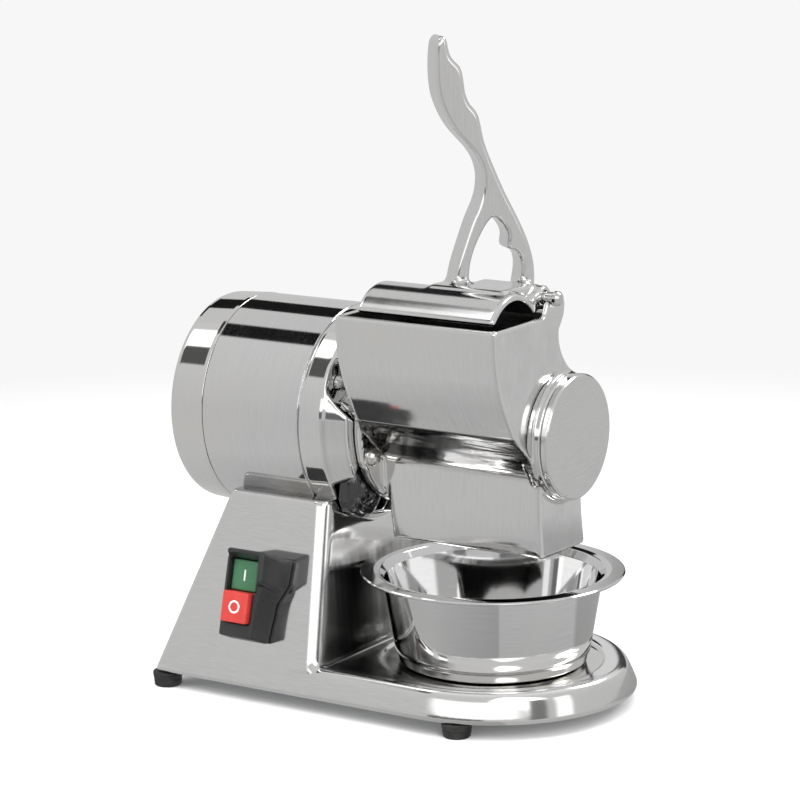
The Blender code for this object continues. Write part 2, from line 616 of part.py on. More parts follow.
# Clockwise outline: (distance along the handle plane, z from the drive axis)
HANDLE_OUTLINE = [
    (-9.2, 247.6), (-6.2, 251.6), (-3.6, 249.6), (-2.2, 244.0), (-0.7, 238.6), (2.2, 235.0),
    (5.4, 231.8), (7.2, 226.7), (8.0, 221.0), (8.9, 215.4), (11.5, 209.0), (14.6, 205.6),
    (17.0, 201.9), (18.9, 194.6), (20.7, 186.3), (23.4, 178.6), (26.2, 171.8), (33.7, 154.9),
    (42.5, 137.8), (48.8, 124.2), (52.6, 112.0), (53.8, 102.4), (53.6, 92.5), (42.8, 92.5),
    (45.0, 106.5), (43.8, 113.6), (40.6, 117.0), (36.6, 117.4), (35.6, 120.6), (36.4, 126.4),
    (34.0, 132.2), (29.6, 137.0), (26.2, 138.7), (22.4, 134.4), (18.7, 128.3), (14.3, 119.0),
    (11.4, 108.4), (10.4, 92.5), (-0.4, 92.5), (1.0, 99.5), (3.0, 108.9), (8.0, 124.2),
    (13.1, 138.1), (17.4, 147.6), (19.6, 155.4), (20.0, 163.9), (18.0, 172.2), (13.8, 179.5),
    (8.2, 185.8), (2.7, 191.8), (-2.0, 198.4), (-5.6, 205.4), (-8.9, 214.5), (-10.2, 223.0),
    (-10.6, 232.0), (-10.2, 241.0),
]
# Rounding of both edges: (depth from the face, inset of the outline)
HANDLE_EDGE = [(0.0, 2.4), (0.9, 0.9), (3.0, 0.0)]

# (x, radius); the domed head is at the front
PIN_PROFILE = [
    (-63.0, 0), (-63.0, PIN_R - 0.6), (-62.4, PIN_R), (0.4, PIN_R), (0.4, 4.9), (3.0, 4.7),
    (4.6, 3.4), (5.2, 0),
]
PIN_CENTRE = (PIN_Y, PIN_Z + AXIS_Z)


def inset_outline(outline, distance):
    """Moves a closed clockwise outline inwards, with a limit at sharp corners."""
    moved = []
    for i, corner in enumerate(outline):
        before, after = outline[i - 1], outline[(i + 1) % len(outline)]
        edge_in = Vector((corner[0] - before[0], corner[1] - before[1])).normalized()
        edge_out = Vector((after[0] - corner[0], after[1] - corner[1])).normalized()
        inward = Vector((edge_in.y, -edge_in.x)) + Vector((edge_out.y, -edge_out.x))
        scale = distance / max(0.45, inward.length_squared / 2.0)
        moved.append((corner[0] + inward.x * scale, corner[1] + inward.y * scale))
    return moved


def handle_ring(depth, inset):
    cos, sin = math.cos(HANDLE_ANGLE), math.sin(HANDLE_ANGLE)
    x0, y0 = HANDLE_ORIGIN
    return [
        (x0 + cos * along - sin * depth, y0 + sin * along + cos * depth, z + AXIS_Z)
        for along, z in inset_outline(HANDLE_OUTLINE, inset)
    ]


def build_press_lever():
    """Saddle shoe, hinge barrel and handle in one casting, and the pin it turns on."""
    start, end = 90 + SHOE_ANGLE, 90 - SHOE_ANGLE
    shoe = arc(*SHOE_CENTRE, SHOE_OUTER_R, start, end, 18)
    shoe += arc(*SHOE_CENTRE, SHOE_INNER_R, end, start, 18)
    lever = prism("press_lever", from_axis(shoe), SHOE_X0, SHOE_X1, "press_lever_alu")
    join(lever, lathe("h_barrel", BARREL_PROFILE, centre=PIN_CENTRE, segments=28))
    join(lever, prism("h_web", from_axis(WEB), -51.6, -6.4))

    pad = prism("h_pad", from_axis(PAD), -67.0, -12.5)
    cut(pad, prism("h_pad_trim", from_axis(PAD_TRIM), -80.0, -51.6))
    join(lever, pad)

    rings = [handle_ring(depth, inset) for depth, inset in HANDLE_EDGE]
    rings += [handle_ring(HANDLE_THICK - depth, inset) for depth, inset in HANDLE_EDGE[::-1]]
    join(lever, loft("h_handle", rings))
    pin_bore = cylinder("h_pin_bore", -70.0, 0.0, PIN_R + 0.3, centre=PIN_CENTRE, segments=24)
    cut(lever, pin_bore)
    lathe("hinge_pin", PIN_PROFILE, "pin_steel", centre=PIN_CENTRE, segments=24)


# ---------------------------------------------------------------- bowl
BOWL_RIM_R = 85.2
BOWL_TOP = 86.8
# (z, radius): up the outside, over the rim and down the inside
BOWL_PROFILE = [
    (26.0, 0), (26.0, 57.6), (26.7, 59.4), (28.2, 60.5), (33.4, 61.6), (34.4, 62.7),
    (80.6, 70.6), (82.6, 71.6), (84.4, 73.6), (85.2, 76.0), (84.9, 83.0), (84.4, 84.6),
    (85.6, BOWL_RIM_R), (86.4, 84.8), (BOWL_TOP - 0.1, 83.6), (BOWL_TOP, 76.4), (86.0, 73.2),
    (83.8, 71.0), (81.2, 69.6), (34.6, 61.6), (33.8, 60.6), (28.8, 59.6), (27.6, 58.2),
    (27.1, 56.6), (27.1, 0),
]

# ---------------------------------------------------------------- switch
# Wall coordinates, about the switch centre: a along X, b up the leaning -Y wall, out from it
SWITCH_X, SWITCH_Z = -180.0, 70.5
WALL_TILT = math.atan2(BASE_HALF - TOWER_TOP_HALF, TOWER_TOP - BASE_BOTTOM)

# Rectangles: (a0, a1, b0, b1)
SWITCH_HOLE = (-13.0, 8.6, -20.6, 21.8)
SWITCH_WELL = (-12.4, 8.0, -19.9, 21.2)
SWITCH_BLOCK = (-12.6, 8.2, -19.0, 20.0)
# Lofts: (out, outline of (a, b))
HOUSING_LEVELS = [
    (GAP, [(-16.5, -31.5), (11.9, -31.5), (15.2, -5.0), (22.2, 7.4), (23.4, 23.1), (-16.5, 24.6)]),
    (3.4, [(-16.1, -31.1), (11.5, -31.1), (14.8, -5.0), (21.7, 7.2), (22.8, 22.9), (-16.1, 24.2)]),
    (20.0, [(-14.6, -28.6), (10.7, -29.0), (11.8, -7.0), (14.6, 3.0), (15.6, 22.0), (-14.6, 22.4)]),
]
HOOD_LEVELS = [
    (6.0, [(-15.3, 1.0), (20.2, 2.0), (21.9, 23.9), (-15.3, 24.9)]),
    (27.0, [(-11.8, 8.2), (17.6, 8.0), (18.8, 27.9), (-9.4, 28.7)]),
]
SHADE_LEVELS = [
    (15.0, [(-12.0, 0.4), (8.4, 0.4), (8.4, 20.9), (-12.0, 20.9)]),
    (30.0, [(-9.6, 1.0), (16.0, 1.0), (17.0, 26.8), (-7.4, 27.2)]),
]

BUTTON_A0, BUTTON_A1 = -12.0, 7.6
BUTTON_BEVEL = 0.9
BUTTON_BACK = -3.0
# (name, b0, b1, out at the face, material)
BUTTONS = [
    ("start_button", 0.8, 20.8, 16.0, "button_green"),
    ("stop_button", -19.5, 0.4, 24.0, "button_red"),
]


def wall_point(a, b, out):
    cos, sin = math.cos(WALL_TILT), math.sin(WALL_TILT)
    return (
        SWITCH_X + a,
        -tower_half(SWITCH_Z) + b * sin - out * cos,
        SWITCH_Z + b * cos + out * sin,
    )


def wall_loft(name, levels, material=None):
    rings = [[wall_point(a, b, out) for a, b in outline] for out, outline in levels]
    return loft(name, rings, material)


def rectangle(a0, a1, b0, b1):
    return [(a0, b0), (a1, b0), (a1, b1), (a0, b1)]


def switch_box(name, back, front, sides, material=None):
    outline = rectangle(*sides)
    return wall_loft(name, [(back, outline), (front, outline)], material)


def build_button(name, b0, b1, face, material):
    bevel = BUTTON_BEVEL
    full = rectangle(BUTTON_A0, BUTTON_A1, b0, b1)
    top = rectangle(BUTTON_A0 + bevel, BUTTON_A1 - bevel, b0 + bevel, b1 - bevel)
    wall_loft(name, [(BUTTON_BACK, full), (face - 1.0, full), (face, top)], material)


def build_switch():
    housing = wall_loft("switch_housing", HOUSING_LEVELS, "switch_black")
    join(housing, wall_loft("h_hood", HOOD_LEVELS))
    cut(housing, switch_box("h_well", -5.0, 22.5, SWITCH_WELL))
    cut(housing, wall_loft("h_shade", SHADE_LEVELS))
    for button in BUTTONS:
        build_button(*button)
    switch_box("switch_block", -34.0, -7.0, SWITCH_BLOCK, "block_grey")


# ---------------------------------------------------------------- parts in the base
# (name, x range, y range, z range, material)
INNER_BOXES = [
    ("run_capacitor", (-232.0, -172.0), (18.0, 48.0), (20.0, 50.0), "capacitor_white"),
    ("terminal_block", (-160.0, -142.0), (-30.0, 22.0), (16.0, 34.0), "terminal_nylon"),
]
GLAND_X = -252.0
# (x from GLAND_X, radius)
GLAND_PROFILE = [
    (-13.0, 5.2), (-11.5, 7.6), (-4.0, 8.6), (-4.0, 9.8), (1.6, 9.8), (1.6, 6.0), (16.0, 6.0),
    (16.0, 4.2), (-13.0, 4.2),
]


def build_base_fittings():
    for name, (x0, x1), (y0, y1), (z0, z1), material in INNER_BOXES:
        side_prism(name, [(x0, z0), (x0, z1), (x1, z1), (x1, z0)], y0, y1, material)
    gland = [(GLAND_X + x, radius) for x, radius in GLAND_PROFILE]
    lathe("cable_gland", gland, "gland_black", centre=GLAND_CENTRE, segments=24)


# ---------------------------------------------------------------- assembly
build_base()
build_plate_and_feet()
build_motor_shell()
front_flange = build_front_flange()
build_motor_internals()
head_casting = build_head()
bolt_head_to_motor(head_casting, front_flange)
build_lock_knob()
lathe("front_cap", FRONT_CAP_PROFILE, "front_cap_alu", segments=64)
build_drum()
build_press_lever()
lathe("bowl", BOWL_PROFILE, "bowl_steel", centre=(BOWL_X, 0), axis="Z", segments=56)
build_switch()
build_base_fittings()
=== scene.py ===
# An electric grater: a base casting with a tower, a motor lying along X on top of it, a hopper
# head on the motor's front with a grating drum inside and a press lever above, and a bowl on
# the deck below.
#
# The model frame is in millimetres: +X points from the motor to the hopper, x = 0 is the
# hopper's front end, z = 0 the floor, and the switch is on the -Y ("near") wall of the tower.
# A "rise" is a height above the motor's axis. Lights and camera are in metres.
import math

import bpy
import numpy as np
from mathutils import Matrix, Vector


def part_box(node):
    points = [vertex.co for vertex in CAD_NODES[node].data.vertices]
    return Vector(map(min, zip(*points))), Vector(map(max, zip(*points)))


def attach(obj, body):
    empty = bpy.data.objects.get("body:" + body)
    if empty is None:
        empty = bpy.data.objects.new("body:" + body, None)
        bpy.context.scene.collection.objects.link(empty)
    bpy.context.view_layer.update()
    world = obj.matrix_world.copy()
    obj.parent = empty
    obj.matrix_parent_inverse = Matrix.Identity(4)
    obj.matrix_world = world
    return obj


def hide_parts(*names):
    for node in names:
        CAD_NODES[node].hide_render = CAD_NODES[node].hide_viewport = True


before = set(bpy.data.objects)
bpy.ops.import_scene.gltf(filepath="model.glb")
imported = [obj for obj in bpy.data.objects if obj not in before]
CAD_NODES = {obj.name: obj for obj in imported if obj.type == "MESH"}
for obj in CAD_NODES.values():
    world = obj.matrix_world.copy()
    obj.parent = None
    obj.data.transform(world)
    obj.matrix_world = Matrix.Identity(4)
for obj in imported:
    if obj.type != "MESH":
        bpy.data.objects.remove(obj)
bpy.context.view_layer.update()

# ------------------------------------------------------------------ driving dimensions (mm)
BOWL_X = -53.0                  # centre of the bowl and of the deck's round front
AXIS_Z = 179.4                  # height of the motor's axis
AXIS = (0, AXIS_Z)

BASE_BOTTOM, TOWER_TOP = 10.0, 136.0
BASE_REAR = -257.0
BASE_HALF, TOWER_TOP_HALF = 94.0, 63.5          # half widths at those two heights
WALL_TILT = math.atan2(BASE_HALF - TOWER_TOP_HALF, TOWER_TOP - BASE_BOTTOM)
WALL_SIN, WALL_COS = math.sin(WALL_TILT), math.cos(WALL_TILT)

# switch centre, on the surface of the near wall
SWITCH_X, SWITCH_Z = -180.0, 70.5
SWITCH_Y = -(BASE_HALF + (TOWER_TOP_HALF - BASE_HALF) * (SWITCH_Z - BASE_BOTTOM)
             / (TOWER_TOP - BASE_BOTTOM))

MOTOR_RADIUS = 70.0
FLANGE_FACE = -137.7            # x of the recessed seats in the motor's front flange
BOLT_SEAT = -115.8              # x where the head bolts' heads sit
HEAD_BOLTS = [(-44.2, -18.8), (47.6, 6.0), (42.0, -23.0)]       # y, rise
BOLT_HOLE_RADIUS = 3.3
# flange screw pockets: angle in degrees, radius at the seat, radius 18.7 mm further forward
SCREW_POCKETS = [(150.0, 13.0, 24.0), (30.0, 8.0, 9.0), (-60.0, 8.0, 9.0)]
SCREW_CIRCLE = 56.5
KNOB_Y, KNOB_RISE = -34.6, -42.4
PIN_Y, PIN_RISE = -13.0, 89.0   # hinge pin of the lever

# The bowl's place in the CAD gives the offset from the model frame to the row frame.
bowl_low, bowl_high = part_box("bowl")
OFFSET = np.array([(bowl_low.x + bowl_high.x) / 2 * 1000 - BOWL_X,
                   (bowl_low.y + bowl_high.y) / 2 * 1000, 0.0])


# ------------------------------------------------------------------ mesh making
def to_metres(points):
    return (np.asarray(points, np.float64) + OFFSET) * 0.001


def finish_piece(name, mesh, normals, body, material, replaces):
    mesh.polygons.foreach_set("use_smooth", np.ones(len(mesh.polygons), bool))
    mesh.update()
    if normals is not None:
        mesh.normals_split_custom_set_from_vertices(normals.tolist())
    mesh.materials.append(material)
    piece = bpy.data.objects.new(name, mesh)
    bpy.context.scene.collection.objects.link(piece)
    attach(piece, body)
    if replaces:
        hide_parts(replaces)


def mesh_from_quads(name, points, quads, attributes):
    """A large mesh of quads, filled from arrays, with float attributes on its points."""
    mesh = bpy.data.meshes.new(name)
    quads = np.asarray(quads, np.int32)
    count = len(quads)
    mesh.vertices.add(len(points))
    mesh.vertices.foreach_set("co", to_metres(points).astype(np.float32).ravel())
    mesh.loops.add(quads.size)
    mesh.loops.foreach_set("vertex_index", quads.ravel())
    mesh.polygons.add(count)
    mesh.polygons.foreach_set("loop_start", np.arange(0, count * 4, 4, dtype=np.int32))
    mesh.polygons.foreach_set("loop_total", np.full(count, 4, np.int32))
    mesh.update(calc_edges=True)
    for key, values in attributes.items():
        attribute = mesh.attributes.new(key, "FLOAT", "POINT")
        attribute.data.foreach_set("value", np.asarray(values, np.float32))
    return mesh


def mesh_from_faces(name, points, faces):
    mesh = bpy.data.meshes.new(name)
    mesh.from_pydata(to_metres(points).tolist(), [], faces)
    return mesh


# ------------------------------------------------------------------ outlines
CURVE_STEP = 1.2                # mm between points along a smoothed outline


def smooth_closed(outline, corner):
    """A closed curve through the points, cornered where it turns by more than `corner` degrees."""
    points = [np.array(point, float) for point in outline]
    count = len(points)

    def turn(i):
        back, ahead = points[i] - points[i - 1], points[(i + 1) % count] - points[i]
        cosine = np.dot(back, ahead) / (np.linalg.norm(back) * np.linalg.norm(ahead) + 1e-12)
        return math.degrees(math.acos(max(-1, min(1, cosine))))

    sharp = [turn(i) > corner for i in range(count)]
    curve = []
    for i in range(count):
        before, start = points[i - 1], points[i]
        end, after = points[(i + 1) % count], points[(i + 2) % count]
        chord = end - start
        length = np.linalg.norm(chord)
        leave = (end - before) * length / (length + np.linalg.norm(start - before))
        arrive = (after - start) * length / (np.linalg.norm(after - end) + length)
        if sharp[i] and sharp[(i + 1) % count]:
            leave = arrive = chord
        elif sharp[i]:
            leave = 1.5 * chord - 0.5 * arrive
        elif sharp[(i + 1) % count]:
            arrive = 1.5 * chord - 0.5 * leave
        steps = max(1, int(length / CURVE_STEP))
        for j in range(steps):
            t = j / steps
            curve.append((2 * t**3 - 3 * t**2 + 1) * start + (t**3 - 2 * t**2 + t) * leave
                         + (-2 * t**3 + 3 * t**2) * end + (t**3 - t**2) * arrive)
    return np.array(curve)


def outline_distance(outline, across, up):
    """Signed distance from the places (across, up) to a closed outline, negative inside."""
    across, up = np.broadcast_arrays(np.asarray(across, np.float32), np.asarray(up, np.float32))
    nearest = np.full(across.shape, 1e12, np.float32)
    inside = np.zeros(across.shape, bool)
    for i in range(len(outline)):
        start_x, start_y = outline[i]
        end_x, end_y = outline[(i + 1) % len(outline)]
        side_x, side_y = end_x - start_x, end_y - start_y
        side_squared = side_x * side_x + side_y * side_y
        if side_squared < 1e-12:
            continue
        from_x, from_y = across - start_x, up - start_y
        along = np.clip((from_x * side_x + from_y * side_y) / side_squared, 0, 1)
        gap_x, gap_y = from_x - along * side_x, from_y - along * side_y
        np.minimum(nearest, gap_x * gap_x + gap_y * gap_y, out=nearest)
        if abs(side_y) > 1e-12:
            spans = ((start_y <= up) & (up < end_y)) | ((end_y <= up) & (up < start_y))
            inside ^= spans & (across < start_x + from_y * side_x / side_y)
    distance = np.sqrt(nearest)
    return np.where(inside, -distance, distance)


def blur(field, times):
    """Repeated 1-2-1 smoothing along every axis."""
    for _ in range(times):
        for axis in range(field.ndim):
            source = np.moveaxis(field, axis, 0)
            result = source.copy()
            result[1:-1] = 0.25 * source[:-2] + 0.5 * source[1:-1] + 0.25 * source[2:]
            field = np.moveaxis(result, 0, axis)
    return field


class Outline:
    """An outline's distance field on a fine grid, read by bilinear interpolation."""

    def __init__(self, points, step=0.5, soften=2, corner=38.0, pad=14.0, spline=True):
        outline = smooth_closed(points, corner) if spline else np.array(points, float)
        self.step = step
        self.low = outline.min(0) - pad
        size = np.ceil((outline.max(0) + pad - self.low) / step).astype(int) + 2
        across = (self.low[0] + step * np.arange(size[0]))[:, None]
        up = (self.low[1] + step * np.arange(size[1]))[None, :]
        self.table = blur(outline_distance(outline, across, up), soften).astype(np.float32)

    def __call__(self, across, up):
        across, up = np.broadcast_arrays(np.asarray(across, np.float32),
                                         np.asarray(up, np.float32))
        column = (across - self.low[0]) / self.step
        row = (up - self.low[1]) / self.step
        last_column, last_row = (size - 1.001 for size in self.table.shape)
        over = (np.maximum(0, -column) + np.maximum(0, column - last_column)
                + np.maximum(0, -row) + np.maximum(0, row - last_row)) * self.step
        column, row = np.clip(column, 0, last_column), np.clip(row, 0, last_row)
        i, j = column.astype(np.int32), row.astype(np.int32)
        right, above = column - i, row - j
        table = self.table
        return (table[i, j] * (1 - right) * (1 - above) + table[i + 1, j] * right * (1 - above)
                + table[i, j + 1] * (1 - right) * above + table[i + 1, j + 1] * right * above
                + over).astype(np.float32)


# ------------------------------------------------------------------ distance fields
def join(first, second, blend):
    """Both solids, with a fillet of about `blend` where they meet."""
    share = np.clip(0.5 + 0.5 * (second - first) / blend, 0, 1)
    return second * (1 - share) + first * share - blend * share * (1 - share)


def meet(first, second, blend):
    """The part the two solids share."""
    return -join(-first, -second, blend)


def cut(field, tool, blend=0.0):
    """The field less the tool, its new edges softened by `blend`."""
    return meet(field, -tool, blend) if blend else np.maximum(field, -tool)


def dist(across, up):
    return np.sqrt(across**2 + up**2)


def unit(values):
    return np.clip(values, 0, 1)


def slab(values, low, high):
    return np.abs(values - (low + high) / 2) - (high - low) / 2


def rounded(first, second, radius):
    """The part two fields share, with its outer edges rounded."""
    first, second = first + radius, second + radius
    return (np.minimum(np.maximum(first, second), 0)
            + dist(np.maximum(first, 0), np.maximum(second, 0)) - radius)


def rounded_box(grid, across, up, out, radius):
    """A box between three (low, high) pairs along the grid's x, y and z."""
    sides = [slab(values, *span) + radius
             for values, span in ((grid.x, across), (grid.y, up), (grid.z, out))]
    outside = [np.maximum(side, 0) for side in sides]
    return (np.minimum(np.maximum(np.maximum(sides[0], sides[1]), sides[2]), 0)
            + np.sqrt(outside[0]**2 + outside[1]**2 + outside[2]**2) - radius)


class Grid:
    """Sample places around a box, three steps wider on every side."""

    def __init__(self, low, high, step):
        self.step = step * 1.0
        self.low = np.array(low, float) - 3 * self.step
        size = np.ceil((np.array(high, float) + 3 * self.step - self.low) / self.step)
        x, y, z = ((start + self.step * np.arange(count)).astype(np.float32)
                   for start, count in zip(self.low, size.astype(int) + 1))
        self.x, self.y, self.z = x[:, None, None], y[None, :, None], z[None, None, :]

    def section(self, outline):
        """An outline in y and rise, read over the whole grid."""
        return outline(self.y[0], (self.z - AXIS_Z)[0])[None]


CORNERS = [(a, b, c) for a in (0, 1) for b in (0, 1) for c in (0, 1)]


def read_field(field, points):
    """Trilinear reading of a field at points counted in grid steps."""
    places = [np.clip(points[:, k], 0, field.shape[k] - 1.001) for k in range(3)]
    cell = [place.astype(np.int32) for place in places]
    part = [place - index for place, index in zip(places, cell)]
    total = 0
    for corner in CORNERS:
        weight = 1
        for k in range(3):
            weight = weight * (part[k] if corner[k] else 1 - part[k])
        total = total + weight * field[tuple(cell[k] + corner[k] for k in range(3))]
    return total


def skin(field, grid, soften):
    """The surface where the field is zero: points (mm), quads, normals and curvature."""
    field = np.ascontiguousarray(blur(np.asarray(field, np.float32), soften))
    inside = field < 0
    cells = tuple(size - 1 for size in field.shape)
    filled = np.zeros(cells, np.uint8)
    for a, b, c in CORNERS:
        filled += inside[a:a + cells[0], b:b + cells[1], c:c + cells[2]]
    crossed = np.nonzero((filled > 0) & (filled < 8))
    count = len(crossed[0])

    # one point per crossed cell, at the mean of the crossings on its edges
    value = {corner: field[tuple(crossed[k] + corner[k] for k in range(3))].astype(np.float64)
             for corner in CORNERS}
    total = np.zeros((count, 3))
    hits = np.zeros(count)
    for axis in range(3):
        for start in CORNERS:
            if start[axis]:
                continue
            end = list(start)
            end[axis] = 1
            first, second = value[start], value[tuple(end)]
            hit = (first < 0) != (second < 0)
            share = np.where(hit, first / np.where(hit, first - second, 1.0), 0.0)
            for k in range(3):
                total[:, k] += np.where(hit, share if k == axis else start[k], 0.0)
            hits += hit
    points = total / hits[:, None] + np.stack(crossed, 1)

    # draw the points on to the surface
    slopes = np.gradient(field)

    def slope_at(places):
        return np.stack([read_field(slope, places) for slope in slopes], 1)

    for _ in range(3):
        slope = slope_at(points)
        steepness = np.maximum((slope * slope).sum(1), 0.05)
        move = np.clip(read_field(field, points) / steepness, -0.5, 0.5)
        points = points - slope * move[:, None]
    slope = slope_at(points)
    normals = slope / np.maximum(np.linalg.norm(slope, axis=1), 1e-6)[:, None]
    bend = sum(np.gradient(part, axis=k) for k, part in enumerate(slopes))
    curvature = read_field(blur(bend, 1), points) / grid.step

    # one quad round every grid edge that crosses the surface
    index = np.full(cells, -1, np.int32)
    index[crossed] = np.arange(count)
    quads = []
    for axis in range(3):
        lower, upper = [slice(None)] * 3, [slice(None)] * 3
        lower[axis], upper[axis] = slice(0, -1), slice(1, None)
        first, second = inside[tuple(lower)], inside[tuple(upper)]
        edge = np.nonzero(first != second)
        u, v = [k for k in range(3) if k != axis]
        within = (edge[u] > 0) & (edge[v] > 0) & (edge[u] < cells[u]) & (edge[v] < cells[v])
        edge = [place[within] for place in edge]
        keep = first[tuple(edge)]
        if axis == 1:
            keep = ~keep
        ring = []
        for back_u, back_v in ((1, 1), (0, 1), (0, 0), (1, 0)):
            place = list(edge)
            place[u] = place[u] - back_u
            place[v] = place[v] - back_v
            ring.append(index[tuple(place)])
        ring = np.stack(ring, 1)
        quads.append(np.where(keep[:, None], ring, ring[:, ::-1]))
    quads = np.concatenate(quads)
    quads = quads[(quads >= 0).all(1)]
    return points * grid.step + grid.low, quads, normals, curvature


def field_piece(name, field, grid, body, material, replaces, soften=2, tone=None):
    """A piece from its field; `tone` gives the extra attributes its material reads."""
    points, quads, normals, curvature = skin(field, grid, soften)
    attributes = {"curv": curvature}
    if tone:
        attributes.update(tone(points, normals))
    mesh = mesh_from_quads(name, points, quads, attributes)
    finish_piece(name, mesh, normals, body, material, replaces)


# ------------------------------------------------------------------ turned pieces
def fillet_profile(stations):
    """Points and outward normals of a closed profile with every corner off the axis rounded.

    Stations are (place along the axis, radius, fillet); those on the axis have no fillet.
    """
    corners = [np.array(station[:2], float) for station in stations]
    count = len(corners)
    area = sum(corners[i][0] * corners[(i + 1) % count][1]
               - corners[(i + 1) % count][0] * corners[i][1] for i in range(count))
    sense = 1.0 if area > 0 else -1.0
    points, normals = [], []
    for i in range(count):
        before, here, after = corners[i - 1], corners[i], corners[(i + 1) % count]
        arrive, leave = here - before, after - here
        arrive_length, leave_length = np.linalg.norm(arrive), np.linalg.norm(leave)
        arrive, leave = arrive / arrive_length, leave / leave_length
        arrive_normal = np.array([arrive[1], -arrive[0]]) * sense
        leave_normal = np.array([leave[1], -leave[0]]) * sense
        if here[1] < 1e-6:
            # on the axis: keep the flat face's own normal
            points.append(here)
            normals.append(leave_normal if abs(before[1]) < 1e-6 else arrive_normal)
            continue
        turn = math.atan2(arrive[0] * leave[1] - arrive[1] * leave[0],
                          float(np.dot(arrive, leave)))
        if abs(turn) < math.radians(1.0):
            mean = arrive_normal + leave_normal
            points.append(here)
            normals.append(mean / np.linalg.norm(mean))
            continue
        setback = min(stations[i][2] * math.tan(abs(turn) / 2),
                      arrive_length if before[1] < 1e-6 else arrive_length * 0.48,
                      leave_length if after[1] < 1e-6 else leave_length * 0.48)
        radius = setback / math.tan(abs(turn) / 2)
        start = here - arrive * setback
        side = 1.0 if turn > 0 else -1.0
        centre = start + side * radius * np.array([-arrive[1], arrive[0]])
        spoke = start - centre
        steps = max(2, int(math.ceil(abs(turn) / math.radians(11))))
        for j in range(steps + 1):
            cosine, sine = math.cos(turn * j / steps), math.sin(turn * j / steps)
            arm = np.array([spoke[0] * cosine - spoke[1] * sine,
                            spoke[0] * sine + spoke[1] * cosine])
            normal = arm / np.linalg.norm(arm)
            points.append(centre + arm)
            normals.append(normal if side * sense > 0 else -normal)
    return np.array(points), np.array(normals)


def turned(name, stations, axis, centre, segments, body, material, replaces, wobble=None):
    """A body of revolution about X through (y, z), or about Z through (x, y).

    `wobble(along, radius, angles)` is added to the radius.
    """
    profile, profile_normals = fillet_profile(stations)
    angles = np.linspace(0, 2 * math.pi, segments, endpoint=False)
    cosines, sines = np.cos(angles), np.sin(angles)
    points, normals, rings = [], [], []
    for (along, radius), (normal_along, normal_out) in zip(profile, profile_normals):
        if radius < 1e-6:
            rings.append(np.full(segments, len(points)))
            points.append((along, 0.0, 0.0))
            normals.append((normal_along, 0.0, 0.0))
            continue
        rings.append(len(points) + np.arange(segments))
        radii = radius if wobble is None else radius + wobble(along, radius, angles)
        radii = np.broadcast_to(radii, angles.shape)
        points += list(zip(np.full(segments, along), radii * cosines, radii * sines))
        slope = (np.roll(radii, -1) - np.roll(radii, 1)) / (2 * (angles[1] - angles[0])) / radii
        lean = -normal_out * slope
        length = np.sqrt(normal_along**2 + normal_out**2 + lean**2)
        normals += list(zip(normal_along / length,
                            (normal_out * cosines - lean * sines) / length,
                            (normal_out * sines + lean * cosines) / length))
    points, normals = np.array(points) + (0.0, *centre), np.array(normals)
    if axis == "Z":
        points, normals = points[:, [1, 2, 0]], normals[:, [1, 2, 0]]

    triangles, quads = [], []
    for i, ring in enumerate(rings):
        following = (i + 1) % len(rings)
        other = rings[following]
        ring_next, other_next = np.roll(ring, -1), np.roll(other, -1)
        ring_is_point, other_is_point = profile[i][1] < 1e-6, profile[following][1] < 1e-6
        if ring_is_point and other_is_point:
            continue
        if ring_is_point:
            triangles.append(np.stack([ring, other_next, other], 1))
        elif other_is_point:
            triangles.append(np.stack([ring, ring_next, other], 1))
        else:
            quads.append(np.stack([ring, ring_next, other_next, other], 1))
    quads = np.concatenate(quads)
    facing = np.cross(points[quads[:, 2]] - points[quads[:, 0]],
                      points[quads[:, 3]] - points[quads[:, 1]])
    inverted = float((facing * normals[quads].mean(1)).sum()) < 0
    faces = []
    for group in (quads, *triangles):
        faces += (group[:, ::-1] if inverted else group).tolist()
    mesh = mesh_from_faces(name, points, faces)
    finish_piece(name, mesh, normals, body, material, replaces)


# ------------------------------------------------------------------ shader trees
class ShaderTree:
    """Short helpers for building a node tree."""

    def __init__(self, tree):
        self.tree = tree
        tree.nodes.clear()

    def new(self, kind, **properties):
        node = self.tree.nodes.new(kind)
        for key, value in properties.items():
            setattr(node, key, value)
        return node

    def put(self, socket, value):
        """Link a socket or set a value."""
        if isinstance(value, bpy.types.NodeSocket):
            self.tree.links.new(value, socket)
        else:
            socket.default_value = value

    def math(self, operation, first, second=0.0):
        node = self.new("ShaderNodeMath", operation=operation)
        self.put(node.inputs[0], first)
        self.put(node.inputs[1], second)
        return node.outputs[0]

    def product(self, first, second):
        return self.math("MULTIPLY", first, second)

    def degrees(self, up, across):
        return self.product(self.math("ARCTAN2", up, across), 180 / math.pi)

    def separate(self, vector):
        node = self.new("ShaderNodeSeparateXYZ")
        self.put(node.inputs[0], vector)
        return node.outputs


